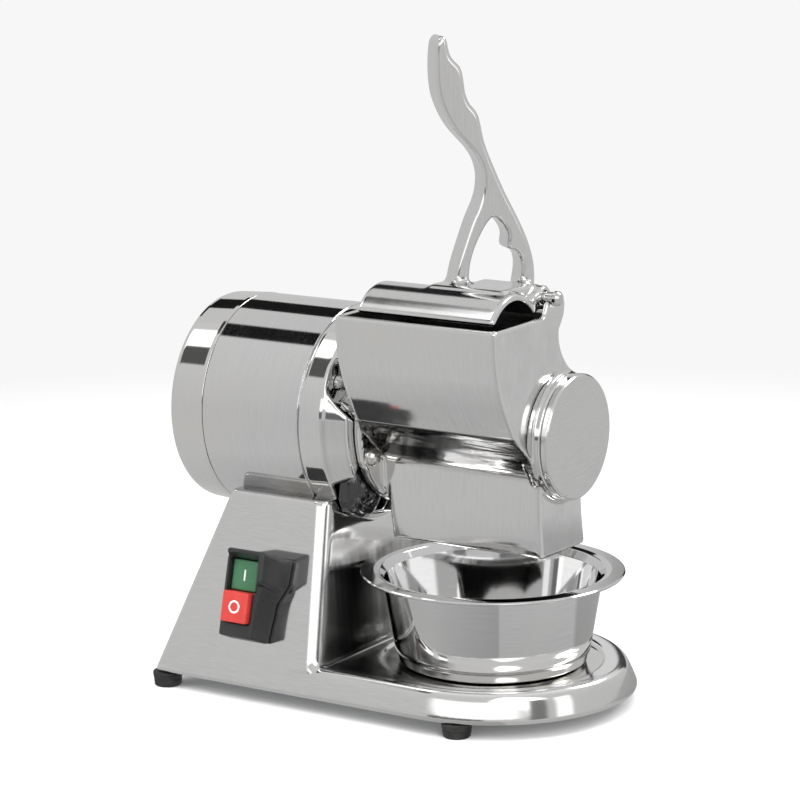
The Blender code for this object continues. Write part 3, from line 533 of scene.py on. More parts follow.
class Surface(ShaderTree):
    """A material with a principled shader and object coordinates."""

    def __init__(self, name):
        self.material = bpy.data.materials.new(name)
        self.material.use_nodes = True
        super().__init__(self.material.node_tree)
        self.output = self.new("ShaderNodeOutputMaterial")
        self.shader = self.new("ShaderNodeBsdfPrincipled")
        self.put(self.output.inputs[0], self.shader.outputs[0])
        self.place = self.new("ShaderNodeTexCoord").outputs["Object"]

    def stretched(self, scale, rotation=(0, 0, 0)):
        node = self.new("ShaderNodeMapping")
        self.put(node.inputs["Vector"], self.place)
        node.inputs["Rotation"].default_value = rotation
        node.inputs["Scale"].default_value = scale
        return node.outputs[0]

    def noise(self, vector, scale=1.0, detail=2.0, roughness=0.5, distortion=0.0):
        node = self.new("ShaderNodeTexNoise")
        self.put(node.inputs["Vector"], vector)
        node.inputs["Scale"].default_value = scale
        node.inputs["Detail"].default_value = detail
        node.inputs["Roughness"].default_value = roughness
        node.inputs["Distortion"].default_value = distortion
        return node.outputs["Fac"]

    def remap(self, value, span, to=(0.0, 1.0)):
        """The value, taken from `span` to `to`."""
        node = self.new("ShaderNodeMapRange")
        self.put(node.inputs["Value"], value)
        for key, number in zip(("From Min", "From Max", "To Min", "To Max"), (*span, *to)):
            self.put(node.inputs[key], number)
        return node.outputs[0]

    def mix(self, factor, first, second):
        node = self.new("ShaderNodeMix", data_type="RGBA")
        self.put(node.inputs[0], factor)
        self.put(node.inputs[6], first)
        self.put(node.inputs[7], second)
        return node.outputs[2]

    def attribute(self, name):
        return self.new("ShaderNodeAttribute", attribute_name=name).outputs["Fac"]

    def bump(self, height, distance, normal=None):
        node = self.new("ShaderNodeBump")
        self.put(node.inputs["Height"], height)
        node.inputs["Distance"].default_value = distance
        node.inputs["Strength"].default_value = 1.0
        if normal is not None:
            self.put(node.inputs["Normal"], normal)
        return node.outputs[0]

    def emission(self, colour):
        node = self.new("ShaderNodeEmission")
        self.put(node.inputs["Color"], colour)
        return node.outputs[0]

    def mix_shader(self, factor, first, second):
        node = self.new("ShaderNodeMixShader")
        for socket, value in zip(node.inputs, (factor, first, second)):
            self.put(socket, value)
        return node.outputs[0]

    def set(self, **values):
        for key, value in values.items():
            self.put(self.shader.inputs[key.replace("_", " ")], value)


# ------------------------------------------------------------------ materials
def cast_finish_and_painted_light(surface, colour, roughness):
    """Dull, darker hollows, painted edge highlights and painted shade, from the piece's
    attributes.

    Returns the colour, the roughness and a height for the relief.
    """
    product, remap, place = surface.product, surface.remap, surface.place

    def roughen(mask, amount):
        return surface.math("ADD", roughness, product(mask, amount))

    curvature = surface.attribute("curv")
    hollow = remap(curvature, span=(-0.9, -0.12), to=(1.0, 0.0))
    edge = remap(curvature, span=(0.25, 1.1))
    # darker and rougher in the hollows, unevenly
    hollow_darkening = surface.noise(place, scale=160.0, detail=4.0, roughness=0.65)
    hollow_darkening = product(hollow, remap(hollow_darkening, span=(0.35, 0.6), to=(0.15, 1.0)))
    colour = surface.mix(product(hollow_darkening, 0.75), colour, (0.16, 0.15, 0.14, 1.0))
    # painted highlight: convex edges lightened nearly to white
    colour = surface.mix(product(edge, 0.85), colour, (0.99, 0.99, 0.985, 1.0))
    roughness = roughen(hollow_darkening, 0.28)
    roughness = roughen(edge, 0.03)

    # as-cast insides: dull and pitted, and near black with painted shade
    inner = surface.attribute("inner")
    sand = surface.noise(place, scale=420.0, detail=4.0, roughness=0.7)
    shaded_inside_colour = surface.mix(remap(sand, span=(0.35, 0.65)),
                              (0.030, 0.029, 0.028, 1.0), (0.075, 0.073, 0.070, 1.0))
    colour = surface.mix(product(inner, 0.97), colour, shaded_inside_colour)
    roughness = roughen(inner, 0.42)

    # the neck under the hopper: a painted dark reflection, streaked and uneven
    neck_dark_reflection = surface.attribute("neck_dark_reflection")
    streak = surface.noise(surface.stretched(scale=(11.0, 46.0, 46.0)), distortion=2.2)
    streaked_dark_reflection = product(neck_dark_reflection, remap(streak, span=(0.57, 0.67), to=(1.0, 0.50)))
    colour = surface.mix(product(streaked_dark_reflection, 0.88), colour, (0.055, 0.054, 0.052, 1.0))
    roughness = roughen(neck_dark_reflection, 0.03)

    # rougher walls, with a painted dark reflection in soft upright streaks
    rough_dark_reflection = surface.attribute("rough_dark_reflection")
    stripe = surface.noise(surface.stretched(scale=(30.0, 95.0, 6.0)))
    striped_dark_reflection = product(rough_dark_reflection, remap(stripe, span=(0.38, 0.62), to=(0.86, 0.42)))
    colour = surface.mix(striped_dark_reflection, colour, (0.17, 0.168, 0.164, 1.0))
    roughness = roughen(rough_dark_reflection, 0.12)

    relief = surface.math("ADD", product(product(inner, sand), 0.25),
                          product(product(neck_dark_reflection, streak), 0.9))
    return colour, roughness, relief


def polished(name, metal, roughness, wave, wave_scale, scratch, grain,
             finish_and_painted_light=False, brushed=0.0, smudge=0.5):
    """Hand polished metal: slow waves, fine directional scratches and uneven roughness.

    wave and scratch are depths in mm, grain the scratches' scale along x, y and z, brushed
    the extra roughness in the scratches, smudge how uneven the roughness is.
    """
    surface = Surface(name)
    place, remap = surface.place, surface.remap
    slow = surface.noise(place, scale=wave_scale, detail=1.5, roughness=0.45)
    fine = surface.noise(surface.stretched(scale=grain), detail=3.0, roughness=0.6)
    crossing_scale = (grain[1] * 0.4, grain[0] * 2.2, grain[1] * 0.4)
    crossing = surface.noise(surface.stretched(crossing_scale, rotation=(0.3, 0.5, 0.25)))
    patch = surface.noise(place, scale=14.0, detail=3.0, roughness=0.55, distortion=0.6)
    speck = surface.noise(place, scale=900.0, roughness=0.6)

    rough = remap(patch, span=(0.3, 0.75),
                  to=(roughness * (1 - 0.35 * smudge), roughness * (1 + 0.65 * smudge)))
    rough = surface.math("ADD", rough, remap(fine, span=(0.35, 0.75), to=(-0.015, 0.03 + brushed)))
    rough = surface.math("ADD", rough, remap(speck, span=(0.66, 0.8), to=(0.0, 0.05)))

    dark = tuple(channel * 0.90 for channel in metal) + (1.0,)
    warm = (metal[0], metal[1] * 0.985, metal[2] * 0.955, 1.0)
    colour = surface.mix(remap(fine, span=(0.3, 0.72)), (*metal, 1.0), dark)
    colour = surface.mix(remap(patch, span=(0.42, 0.7), to=(0.0, 0.7)), colour, warm)
    # painted edge highlights and painted shade, with the cast finish
    if finish_and_painted_light:
        colour, rough, relief = cast_finish_and_painted_light(surface, colour, rough)

    normal = surface.bump(slow, distance=wave * 0.001)
    normal = surface.bump(fine, distance=scratch * 0.001, normal=normal)
    normal = surface.bump(crossing, distance=scratch * 0.0006, normal=normal)
    if finish_and_painted_light:
        normal = surface.bump(relief, distance=0.0006, normal=normal)
    surface.set(Base_Color=colour, Metallic=1.0, Roughness=rough, Normal=normal)
    return surface.material


def plastic(name, colour, roughness, grain, coat=0.0):
    """Moulded plastic; grain is the depth of its texture in mm."""
    surface = Surface(name)
    texture = surface.noise(surface.place, scale=1500.0, detail=3.0, roughness=0.6)
    patch = surface.noise(surface.place, scale=30.0, detail=3.0, roughness=0.6)
    dark = tuple(channel * 0.82 for channel in colour) + (1.0,)
    light = tuple(min(1.0, channel * 1.15 + 0.004) for channel in colour) + (1.0,)
    shade = surface.mix(surface.remap(patch, span=(0.3, 0.7)), dark, light)
    rough = surface.math(
        "ADD",
        surface.remap(patch, span=(0.3, 0.7), to=(roughness * 0.85, roughness * 1.2)),
        surface.remap(texture, span=(0.4, 0.7), to=(-0.02, 0.05)))
    surface.set(Base_Color=shade, Roughness=rough,
                Normal=surface.bump(texture, distance=grain * 0.001),
                Coat_Weight=coat, Coat_Roughness=0.06)
    return surface.material


def rubber(name):
    surface = Surface(name)
    texture = surface.noise(surface.place, scale=1800.0, detail=4.0, roughness=0.7)
    patch = surface.noise(surface.place, scale=80.0, detail=3.0, roughness=0.6)
    colour = surface.mix(surface.remap(patch, span=(0.35, 0.7)),
                         (0.010, 0.010, 0.010, 1), (0.030, 0.029, 0.028, 1))
    surface.set(Base_Color=colour,
                Roughness=surface.remap(texture, span=(0.3, 0.7), to=(0.5, 0.75)),
                Normal=surface.bump(texture, distance=0.00003), Specular_IOR_Level=0.35)
    return surface.material


ALUMINIUM = (0.80, 0.80, 0.795)
STEEL = (0.78, 0.78, 0.785)
HEAD_METAL = polished(
    "head_polished_aluminium", ALUMINIUM, roughness=0.075, wave=0.03, wave_scale=24.0,
    scratch=0.0011, grain=(2200.0, 90.0, 60.0), finish_and_painted_light=True, brushed=0.02)
BASE_METAL = polished(
    "base_polished_aluminium", ALUMINIUM, roughness=0.085, wave=0.028, wave_scale=18.0,
    scratch=0.0010, grain=(90.0, 2000.0, 1200.0), finish_and_painted_light=True)
LEVER_METAL = polished(
    "lever_polished_aluminium", ALUMINIUM, roughness=0.12, wave=0.04, wave_scale=34.0,
    scratch=0.001, grain=(900.0, 900.0, 80.0), finish_and_painted_light=True)
SHELL_METAL = polished(
    "motor_shell_steel", STEEL, roughness=0.045, wave=0.006, wave_scale=12.0,
    scratch=0.0011, grain=(1500.0, 45.0, 45.0), brushed=0.015, smudge=0.35)
CAP_METAL = polished(
    "motor_cap_aluminium", ALUMINIUM, roughness=0.045, wave=0.006, wave_scale=16.0,
    scratch=0.0008, grain=(2600.0, 70.0, 70.0))
FLANGE_METAL = polished(
    "motor_flange_aluminium", ALUMINIUM, roughness=0.05, wave=0.006, wave_scale=16.0,
    scratch=0.0008, grain=(2600.0, 70.0, 70.0), finish_and_painted_light=True)
FRONT_CAP_METAL = polished(
    "front_cap_aluminium", (0.77, 0.77, 0.765), roughness=0.15, wave=0.006, wave_scale=20.0,
    scratch=0.0008, grain=(2000.0, 60.0, 1400.0), brushed=0.02)
BOWL_METAL = polished(
    "bowl_stainless_steel", STEEL, roughness=0.045, wave=0.006, wave_scale=14.0,
    scratch=0.0010, grain=(60.0, 60.0, 3200.0), smudge=0.8)
FASTENER_METAL = polished(
    "fastener_steel", (0.72, 0.715, 0.70), roughness=0.14, wave=0.02, wave_scale=120.0,
    scratch=0.003, grain=(900.0, 900.0, 900.0))
PIN_METAL = polished(
    "pin_steel", (0.72, 0.72, 0.72), roughness=0.12, wave=0.02, wave_scale=90.0,
    scratch=0.003, grain=(3000.0, 60.0, 60.0))
DRUM_METAL = polished(
    "drum_stainless_steel", (0.70, 0.70, 0.70), roughness=0.24, wave=0.01, wave_scale=60.0,
    scratch=0.003, grain=(60.0, 900.0, 900.0), brushed=0.08)
PLATE_METAL = polished(
    "plate_zinc_steel", (0.55, 0.56, 0.57), roughness=0.36, wave=0.02, wave_scale=20.0,
    scratch=0.004, grain=(40.0, 1500.0, 900.0))
IRON = polished(
    "lamination_iron", (0.28, 0.28, 0.30), roughness=0.42, wave=0.02, wave_scale=60.0,
    scratch=0.02, grain=(1900.0, 30.0, 30.0))
BEARING_METAL = polished(
    "bearing_steel_ground", (0.66, 0.66, 0.68), roughness=0.16, wave=0.006, wave_scale=60.0,
    scratch=0.002, grain=(2400.0, 50.0, 50.0))
COPPER = polished(
    "winding_copper_wire", (0.70, 0.33, 0.16), roughness=0.30, wave=0.05, wave_scale=160.0,
    scratch=0.06, grain=(1500.0, 120.0, 120.0))
BLACK = plastic("switch_black_plastic", (0.016, 0.016, 0.017), roughness=0.32, grain=0.02)
KNOB_BLACK = plastic("knob_black_gloss", (0.006, 0.006, 0.007), roughness=0.08, grain=0.002,
                     coat=1.0)
GREEN = plastic("button_green_plastic", (0.050, 0.165, 0.080), roughness=0.34, grain=0.012)
RED = plastic("button_red_plastic", (0.44, 0.032, 0.026), roughness=0.36, grain=0.012)
WHITE = plastic("mark_white_ink", (0.85, 0.86, 0.85), roughness=0.45, grain=0.004)
GREY = plastic("block_grey_plastic", (0.12, 0.12, 0.13), roughness=0.45, grain=0.02)
CAPACITOR = plastic("capacitor_white_plastic", (0.72, 0.72, 0.69), roughness=0.4, grain=0.02)
NYLON = plastic("terminal_nylon", (0.80, 0.78, 0.70), roughness=0.48, grain=0.02)
RUBBER = rubber("foot_rubber_black")


# ------------------------------------------------------------------ base casting
# deck edge: distance outwards from its outline, height
DECK_PROFILE = [
    (0.0, 10.0), (-1.5, 16.0), (-3.0, 22.0), (-4.2, 25.8), (-5.6, 28.3), (-7.9, 29.9),
    (-10.4, 29.7), (-12.8, 28.6), (-16.0, 28.4), (-60.0, 28.4), (-95.0, 28.4), (-95.0, 10.0)]
END_WALL_SLOPE = 0.955          # scales x distances for the leaning end walls


def wall_coords(x, y, z):
    """Places along the near wall, up it and out from it, about the switch centre."""
    return (x - SWITCH_X, (y - SWITCH_Y) * WALL_SIN + (z - SWITCH_Z) * WALL_COS,
            -(y - SWITCH_Y) * WALL_COS + (z - SWITCH_Z) * WALL_SIN)


def tower_field(grid, inset, bottom, top):
    """The tower with its four leaning walls moved in by `inset`."""
    climb = (grid.z - BASE_BOTTOM) / (TOWER_TOP - BASE_BOTTOM)
    rear = BASE_REAR + climb * 46.0 + inset
    front = -128.4 - climb * 9.2 - inset
    half = BASE_HALF + (TOWER_TOP_HALF - BASE_HALF) * climb - inset
    radius = np.where(grid.x < -195, max(1.5, 3.4 - inset), max(1.5, 8.0 - inset))
    ends = (np.abs(grid.x - (rear + front) / 2) - (front - rear) / 2) * END_WALL_SLOPE
    sides = (np.abs(grid.y) - half) * WALL_COS
    walls = rounded(ends, sides, radius)
    return rounded(walls, np.maximum(grid.z - top, bottom - grid.z), 0.8)


def deck_distance(x, y, half):
    """Distance outwards from an outline with straight sides and a round front."""
    return dist(np.maximum(x - BOWL_X, 0), y) - half


def rim_spread(x, y):
    """How much wider the rim's slope is on the +Y side of the round front."""
    angle = np.degrees(np.arctan2(y, np.maximum(x - BOWL_X, 1e-3)))
    turn = unit((angle + 4.0) / 42.0)
    ahead = unit((x + 146.0) / 60.0)
    return 1.0 + 0.75 * turn * turn * (3 - 2 * turn) * ahead * ahead * (3 - 2 * ahead)


def base_tone(points, normals):
    """Rougher, with a painted dark reflection: tower's front wall, ledge on top, deck floor."""
    x, y, z = points.T
    wall = ((normals[:, 0] > 0.75) * (x > -150.0) * (x < -126.0)
            * unit((z - 28.0) / 2.0) * unit((96.0 - z) / 7.0))
    ledge = (z > 131.6) * unit((normals[:, 2] - 0.6) / 0.3) * 0.6
    from_edge = BASE_HALF - np.hypot(np.maximum(x - BOWL_X, 0), y)
    floor = ((x > -130.0) * (x < -40.0) * (z > 24.0) * (z < 31.0) * (normals[:, 2] > 0.85)
             * unit((from_edge - 13.5) / 1.5) * unit((-45.0 - x) / 20.0))
    return {"rough_dark_reflection": unit(wall + ledge + floor)}


def make_base():
    grid = Grid((BASE_REAR - 0.5, -BASE_HALF - 0.5, BASE_BOTTOM - 0.5),
                (BOWL_X + BASE_HALF + 0.5, BASE_HALF + 0.5, TOWER_TOP + 0.5), 1.15)
    x, y, z = grid.x, grid.y, grid.z
    # the deck only reaches the grid's lowest layers
    layers = int((34.0 - grid.low[2]) / grid.step)
    low_z = z[:, :, :layers]

    field = tower_field(grid, inset=0.0, bottom=BASE_BOTTOM, top=TOWER_TOP - 3.6)
    profile = Outline(DECK_PROFILE, step=0.25, soften=3, corner=50.0, pad=60.0)
    outwards = deck_distance(x, y, BASE_HALF) / rim_spread(x, y)
    deck = profile(np.clip(outwards, -90.0, 60.0), low_z)
    deck = np.maximum(deck, -(x + 150.0))
    blend = 0.25 + 2.95 * unit((low_z - 24.5) / 4.0)
    low = join(field[..., :layers], deck, blend)
    # bowl recess with a soft step
    field[..., :layers] = cut(low, rounded(dist(x - BOWL_X, y) - 71.8, 25.7 - low_z, 1.6), 1.2)
    # motor saddle
    field = cut(field, dist(y, z - AXIS_Z) - 67.8, 0.5)
    # hollow underneath
    field = cut(field, tower_field(grid, inset=5.0, bottom=-50.0, top=101.0))
    hollow = np.maximum(deck_distance(x, y, BASE_HALF - 7.5), -150.0 - x)
    field[..., :layers] = cut(field[..., :layers], rounded(hollow, low_z - 21.6, 1.0))
    # the switch's hole and the cable entry
    along, up, out = wall_coords(x, y, z)
    field = cut(field, np.maximum(np.maximum(np.abs(along + 2.2) - 10.8, np.abs(up - 0.6) - 21.2),
                                  np.abs(out + 6.0) - 14.0))
    field = cut(field, np.maximum(dist(y - 40.0, z - 38.0) - 6.4, np.abs(x + 250.0) - 22.0), 0.8)
    field = np.maximum(field, BASE_BOTTOM - z)
    field_piece("base_skin", field, grid, "chassis", BASE_METAL, "base_casting",
                tone=base_tone)


# ------------------------------------------------------------------ head casting
def arc(radius, first, stop):
    """Points round the axis every 8 degrees."""
    return [(radius * math.cos(math.radians(angle)), radius * math.sin(math.radians(angle)))
            for angle in range(first, stop, 8)]


# cross sections of the hopper and the spout below it: y, rise
HEAD_OUTER = [
    (-83.5, 79.0), (-83.3, 68.0), (-82.2, 57.0), (-80.0, 47.0), (-77.0, 38.5), (-73.0, 29.5),
    (-68.0, 20.5), (-63.0, 12.5), (-60.5, 8.2), (-57.5, 4.6), (-53.0, 0.8), (-47.5, -3.6),
    (-42.0, -8.6), (-37.0, -14.2), (-33.4, -18.6), (-31.2, -22.5), (-30.4, -27.0),
    (-30.0, -42.0), (-27.0, -75.0), (27.0, -75.0), (23.4, -54.0), (22.6, -44.0),
    (24.2, -36.0), (28.6, -29.5), *arc(36.6, -34, 63), (12.0, 38.6), (7.0, 42.6),
    (2.6, 46.8), (-1.2, 51.6), (-4.2, 57.0), (-5.8, 62.5), (-6.0, 68.0), (-4.6, 72.5),
    (-1.6, 76.0), (1.0, 79.0)]
HEAD_INNER = [
    (-79.3, 95.0), (-79.3, 68.0), (-78.2, 57.6), (-76.2, 48.6), (-73.2, 40.0), (-69.4, 31.6),
    (-64.6, 23.0), (-59.6, 15.0), (-57.0, 11.0), (-54.4, 8.0), (-50.2, 4.4), (-44.8, 0.0),
    (-39.4, -5.0), (-34.4, -10.8), (-30.6, -15.6), (-28.0, -21.0), (-26.6, -28.0),
    (-26.2, -42.0), (-22.6, -90.0), (22.6, -90.0), (19.6, -54.0), (18.8, -44.0),
    (20.4, -35.0), (24.6, -26.5), *arc(32.7, -38, 67), (9.0, 34.6), (4.2, 38.8),
    (-0.6, 43.4), (-4.8, 49.0), (-8.0, 55.4), (-9.8, 62.0), (-10.0, 68.6), (-8.4, 74.0),
    (-5.4, 78.0), (-4.0, 95.0)]
# what is trimmed off the rear below the hopper: x, z
HEAD_TRIM = [(-140.0, 80.0), (-110.6, 80.0), (-112.6, 123.0), (-114.4, 138.0), (-117.6, 146.0),
             (-140.0, 146.0)]
# ring round the drum's front opening: x, radius
FRONT_BOSS = [(-6.0, 20.0), (-6.0, 40.8), (-1.2, 40.8), (0.6, 40.4), (1.5, 39.0), (2.4, 40.0),
              (4.3, 40.0), (5.0, 39.2), (5.0, 20.0)]
# lugs that carry the hinge pin: y, rise
FRONT_LUG = [(-27.0, 72.0), (-25.0, 77.0), (-21.5, 84.6), (-19.0, 88.9), (-2.0, 88.9),
             (2.2, 84.8), (0.2, 78.2), (-4.0, 70.0)]
REAR_LUG = [(-5.5, 70.0), (-10.5, 80.6), (-16.4, 82.4), (-19.6, 86.0), (-19.0, 88.9),
            (-2.0, 88.9), (1.8, 84.8), (0.0, 78.2), (-4.0, 71.0)]


def make_head():
    grid = Grid((-122.5, -84.5, AXIS_Z - 75.5), (5.5, 56.5, AXIS_Z + 90.0), 0.95)
    x, y, rise = grid.x, grid.y, grid.z - AXIS_Z
    radius = dist(y, rise)
    inner_outline = Outline(HEAD_INNER, step=0.4, soften=4)
    outer = grid.section(Outline(HEAD_OUTER, step=0.4, soften=4))
    inner = grid.section(inner_outline)

    field = rounded(outer, slab(x, -117.0, 0.0), 1.6)
    trim = Outline(HEAD_TRIM, spline=False)
    field = cut(field, trim(x[:, 0, :], grid.z[0, 0, :][None, :])[:, None, :], 1.6)
    # bolting flange, front boss and a boss round the near bolt
    field = join(field, rounded(radius - 56.0, slab(x, -122.0, -116.0), 1.0), 2.6)
    field = join(field, Outline(FRONT_BOSS, step=0.2, spline=False)(x, radius), 1.2)
    bolt_y, bolt_rise = HEAD_BOLTS[0]
    bolt_boss = dist(y - bolt_y, rise - bolt_rise) - 8.6
    field = join(field, rounded(bolt_boss, slab(x, -120.0, BOLT_SEAT), 1.2), 3.0)
    # lugs, with a slot open to the top for the pin
    for lug, rear, front, blend in ((FRONT_LUG, -4.8, -0.4, 1.6), (REAR_LUG, -60.0, -53.2, 1.2)):
        section = grid.section(Outline(lug, step=0.3, soften=3))
        field = join(field, rounded(section, slab(x, rear, front), 1.2), blend)
    slot = np.minimum(dist(y - PIN_Y, rise - PIN_RISE) - 4.6,
                      np.maximum(np.abs(y - PIN_Y) - 4.5, PIN_RISE - rise))
    field = cut(field, slot, 0.8)
    # the hollow, its deeper upper part, the front opening and the shaft's opening
    field = cut(field, rounded(inner, slab(x, -106.0, -4.2), 2.0), 1.2)
    upper = np.maximum(inner, -31.0 - rise)
    field = cut(field, rounded(upper, slab(x, -112.0, -103.0), 2.0), 1.0)
    field = cut(field, np.maximum(radius - 32.0, -9.0 - x), 0.5)
    field = cut(field, np.maximum(radius - 20.0, x + 100.0), 0.6)
    for bolt_y, bolt_rise in HEAD_BOLTS:
        hole = dist(y - bolt_y, rise - bolt_rise) - BOLT_HOLE_RADIUS
        field = cut(field, np.maximum(hole, x + 105.0))

    def tone(points, normals):
        x, y, rise = points[:, 0], points[:, 1], points[:, 2] - AXIS_Z
        # painted shade: the hopper's hollow and the drum's opening are darkened nearly to black
        inside = (inner_outline(y, rise) < 0.7) & (x > -113.0) & (x < -3.4)
        inside |= (np.hypot(y, rise) < 32.8) & (x > -113.0) & (x < 1.0)
        inside &= ~((rise > 77.6) & (normals[:, 2] > 0.5))
        # painted dark reflection on the neck's underside, where it faces -Y
        neck = (unit((8.8 - rise) / 0.6) * unit((rise + 19.5) / 2.2)
                * (y < -28.0) * (y > -63.5) * (x < -0.8) * (x > -116.4))
        return {"inner": inside.astype(float),
                "neck_dark_reflection": neck * (~inside) * unit((-normals[:, 1] - 0.25) / 0.2)}

    field_piece("head_skin", field, grid, "chassis", HEAD_METAL, "head_casting",
                tone=tone)


# ------------------------------------------------------------------ press lever
# the flat arm, standing upright in a plane turned about Z: place along the plane, rise
LEVER_ARM = [
    (-9.2, 247.6), (-6.2, 251.6), (-3.6, 249.6), (-2.2, 244.0), (-0.7, 238.6), (2.2, 235.0),
    (5.4, 231.8), (7.2, 226.7), (8.0, 221.0), (8.9, 215.4), (11.5, 209.0), (14.6, 205.6),
    (17.0, 201.9), (18.9, 194.6), (20.7, 186.3), (23.4, 178.6), (26.2, 171.8), (33.7, 154.9),
    (42.5, 137.8), (48.8, 124.2), (52.6, 112.0), (53.8, 102.4), (53.6, 92.5), (42.8, 92.5),
    (45.0, 106.5), (43.8, 113.6), (40.6, 117.0), (36.6, 117.4), (35.6, 120.6), (36.4, 126.4),
    (34.0, 132.2), (29.6, 137.0), (26.2, 138.7), (22.4, 134.4), (18.7, 128.3), (14.3, 119.0),
    (11.4, 108.4), (10.4, 92.5), (-0.4, 92.5), (1.0, 99.5), (3.0, 108.9), (8.0, 124.2),
    (13.1, 138.1), (17.4, 147.6), (19.6, 155.4), (20.0, 163.9), (18.0, 172.2), (13.8, 179.5),
    (8.2, 185.8), (2.7, 191.8), (-2.0, 198.4), (-5.6, 205.4), (-8.9, 214.5), (-10.2, 223.0),
    (-10.6, 232.0), (-10.2, 241.0)]
ARM_X, ARM_Y = -52.8, -45.6     # where the plane starts
ARM_TURN = math.radians(51.0)
ARM_THICKNESS = 20.0
# the pad on top of the shoe, and the web to the hinge: y, rise
LEVER_PAD = [
    (-50.0, 92.2), (-54.5, 94.2), (-53.0, 97.2), (-49.0, 98.2), (-40.0, 98.0), (-28.0, 97.2),
    (-16.0, 97.0), (-10.0, 95.4), (-7.6, 91.5), (-12.0, 85.0), (-20.0, 84.0), (-26.6, 85.0),
    (-32.0, 88.6), (-38.0, 91.2), (-44.0, 92.6)]
LEVER_WEB = [(-30.0, 87.6), (-26.0, 91.4), (-20.0, 93.8), (-13.0, 94.6), (-8.0, 90.0),
             (-12.0, 83.0), (-18.0, 82.2), (-24.0, 82.6), (-27.0, 84.6)]
# the arched shoe's centre, mean radius and half angle
SHOE_Y, SHOE_RISE = -49.5, 62.9
SHOE_RADIUS, SHOE_HALF_ANGLE = 31.1, math.radians(54.9)
LEVER_FRONT = -6.0


def make_lever():
    grid = Grid((-105.5, -80.0, AXIS_Z + 74.0), (-5.0, 10.0, AXIS_Z + 252.5), 0.95)
    x, y, rise = grid.x, grid.y, grid.z - AXIS_Z
    cosine, sine = math.cos(ARM_TURN), math.sin(ARM_TURN)
    along = (x - ARM_X) * cosine + (y - ARM_Y) * sine
    depth = -(x - ARM_X) * sine + (y - ARM_Y) * cosine
    arm = Outline(LEVER_ARM, step=0.35, soften=3, corner=62.0, pad=22.0)(along, rise)
    field = rounded(arm, slab(depth, 0.0, ARM_THICKNESS), 2.6)

    shoe_radius = dist(y - SHOE_Y, rise - SHOE_RISE)
    shoe_angle = np.arctan2(y - SHOE_Y, rise - SHOE_RISE)
    arch = np.maximum(np.abs(shoe_radius - SHOE_RADIUS) - 2.5,
                      (np.abs(shoe_angle) - SHOE_HALF_ANGLE) * shoe_radius)
    shoe = rounded(arch, slab(x, -104.8, LEVER_FRONT), 1.1)
    pad = grid.section(Outline(LEVER_PAD, step=0.3, soften=4))
    pad = rounded(pad, slab(x, -67.0, -12.5), 2.0)
    # no pad over the rear lug
    pad = cut(pad, np.maximum(-24.0 - y, x + 51.6), 1.2)
    web = grid.section(Outline(LEVER_WEB, step=0.3, soften=4))
    web = rounded(web, slab(x, -51.6, -6.4), 1.6)
    pin_radius = dist(y - PIN_Y, rise - PIN_RISE)
    barrel = rounded(pin_radius - 7.6, slab(x, -52.0, -6.2), 0.9)
    field = join(field, pad, 4.2)
    field = join(field, shoe, 2.6)
    field = join(field, join(barrel, web, 1.6), 2.0)
    # keep the underside of the arch and the pin's bore clear
    field = cut(field, np.maximum(shoe_radius - 28.6, SHOE_RISE + 14.0 - rise), 0.6)
    field = cut(field, pin_radius - 4.3)
    field = meet(field, x - LEVER_FRONT, 0.6)

    def tone(points, normals):
        """The underside of the arch, darkened with painted shade."""
        across, up = points[:, 1] - SHOE_Y, points[:, 2] - AXIS_Z - SHOE_RISE
        radius = np.hypot(across, up)
        facing = -(normals[:, 1] * across + normals[:, 2] * up) / np.maximum(radius, 1.0)
        return {"inner": unit((29.6 - radius) / 0.6) * (up < 27.0) * unit((facing - 0.2) / 0.3)}

    field_piece("lever_skin", field, grid, "press", LEVER_METAL, "press_lever",
                tone=tone)


# ------------------------------------------------------------------ motor
SHELL_REAR, SHELL_FRONT = -230.0, -155.5
# flange section: x, radius
FLANGE_PROFILE = [
    (-155.2, 63.0), (-161.5, 63.0), (-161.5, 67.8), (-155.2, 67.8), (-155.2, 70.1),
    (-138.0, 69.3), (-137.0, 68.8), (-136.5, 67.7), (-122.3, 62.6), (-122.3, 20.0),
    (-139.0, 20.0), (-139.0, 15.3), (-153.5, 15.3), (-153.5, 22.0), (-145.0, 24.0),
    (-143.0, 58.0)]


def screw_place(angle):
    """y and rise of a flange screw."""
    return (SCREW_CIRCLE * math.cos(math.radians(angle)),
            SCREW_CIRCLE * math.sin(math.radians(angle)))


def make_motor_shell():
    stations = [
        (SHELL_REAR, MOTOR_RADIUS - 1.8, 0.3), (SHELL_REAR, MOTOR_RADIUS, 0.5),
        (SHELL_FRONT, MOTOR_RADIUS, 0.5), (SHELL_FRONT, MOTOR_RADIUS - 1.8, 0.3)]
    turned("motor_shell_skin", stations, "X", AXIS, 256, "chassis", SHELL_METAL,
           "motor_shell")


def make_motor_cap():
    stations = [
        (-257.0, 0), (-257.0, 68.2, 1.9), (-253.4, 69.0, 6.0),
        (-233.0, MOTOR_RADIUS + 0.2, 1.0), (-230.3, MOTOR_RADIUS + 0.1, 0.5),
        (-230.3, MOTOR_RADIUS - 2.2, 0.3), (-224.0, MOTOR_RADIUS - 2.2, 0.3),
        (-224.0, MOTOR_RADIUS - 6.0, 0.3), (-249.0, MOTOR_RADIUS - 8.0, 2.0),
        (-252.0, 50.0, 3.0), (-252.0, 17.0, 1.0), (-240.0, 17.0, 0.5), (-240.0, 11.3, 0.5),
        (-251.0, 11.3, 0.3), (-251.0, 0)]
    turned("motor_rear_cap_skin", stations, "X", AXIS, 256, "chassis", CAP_METAL,
           "motor_rear_cap")


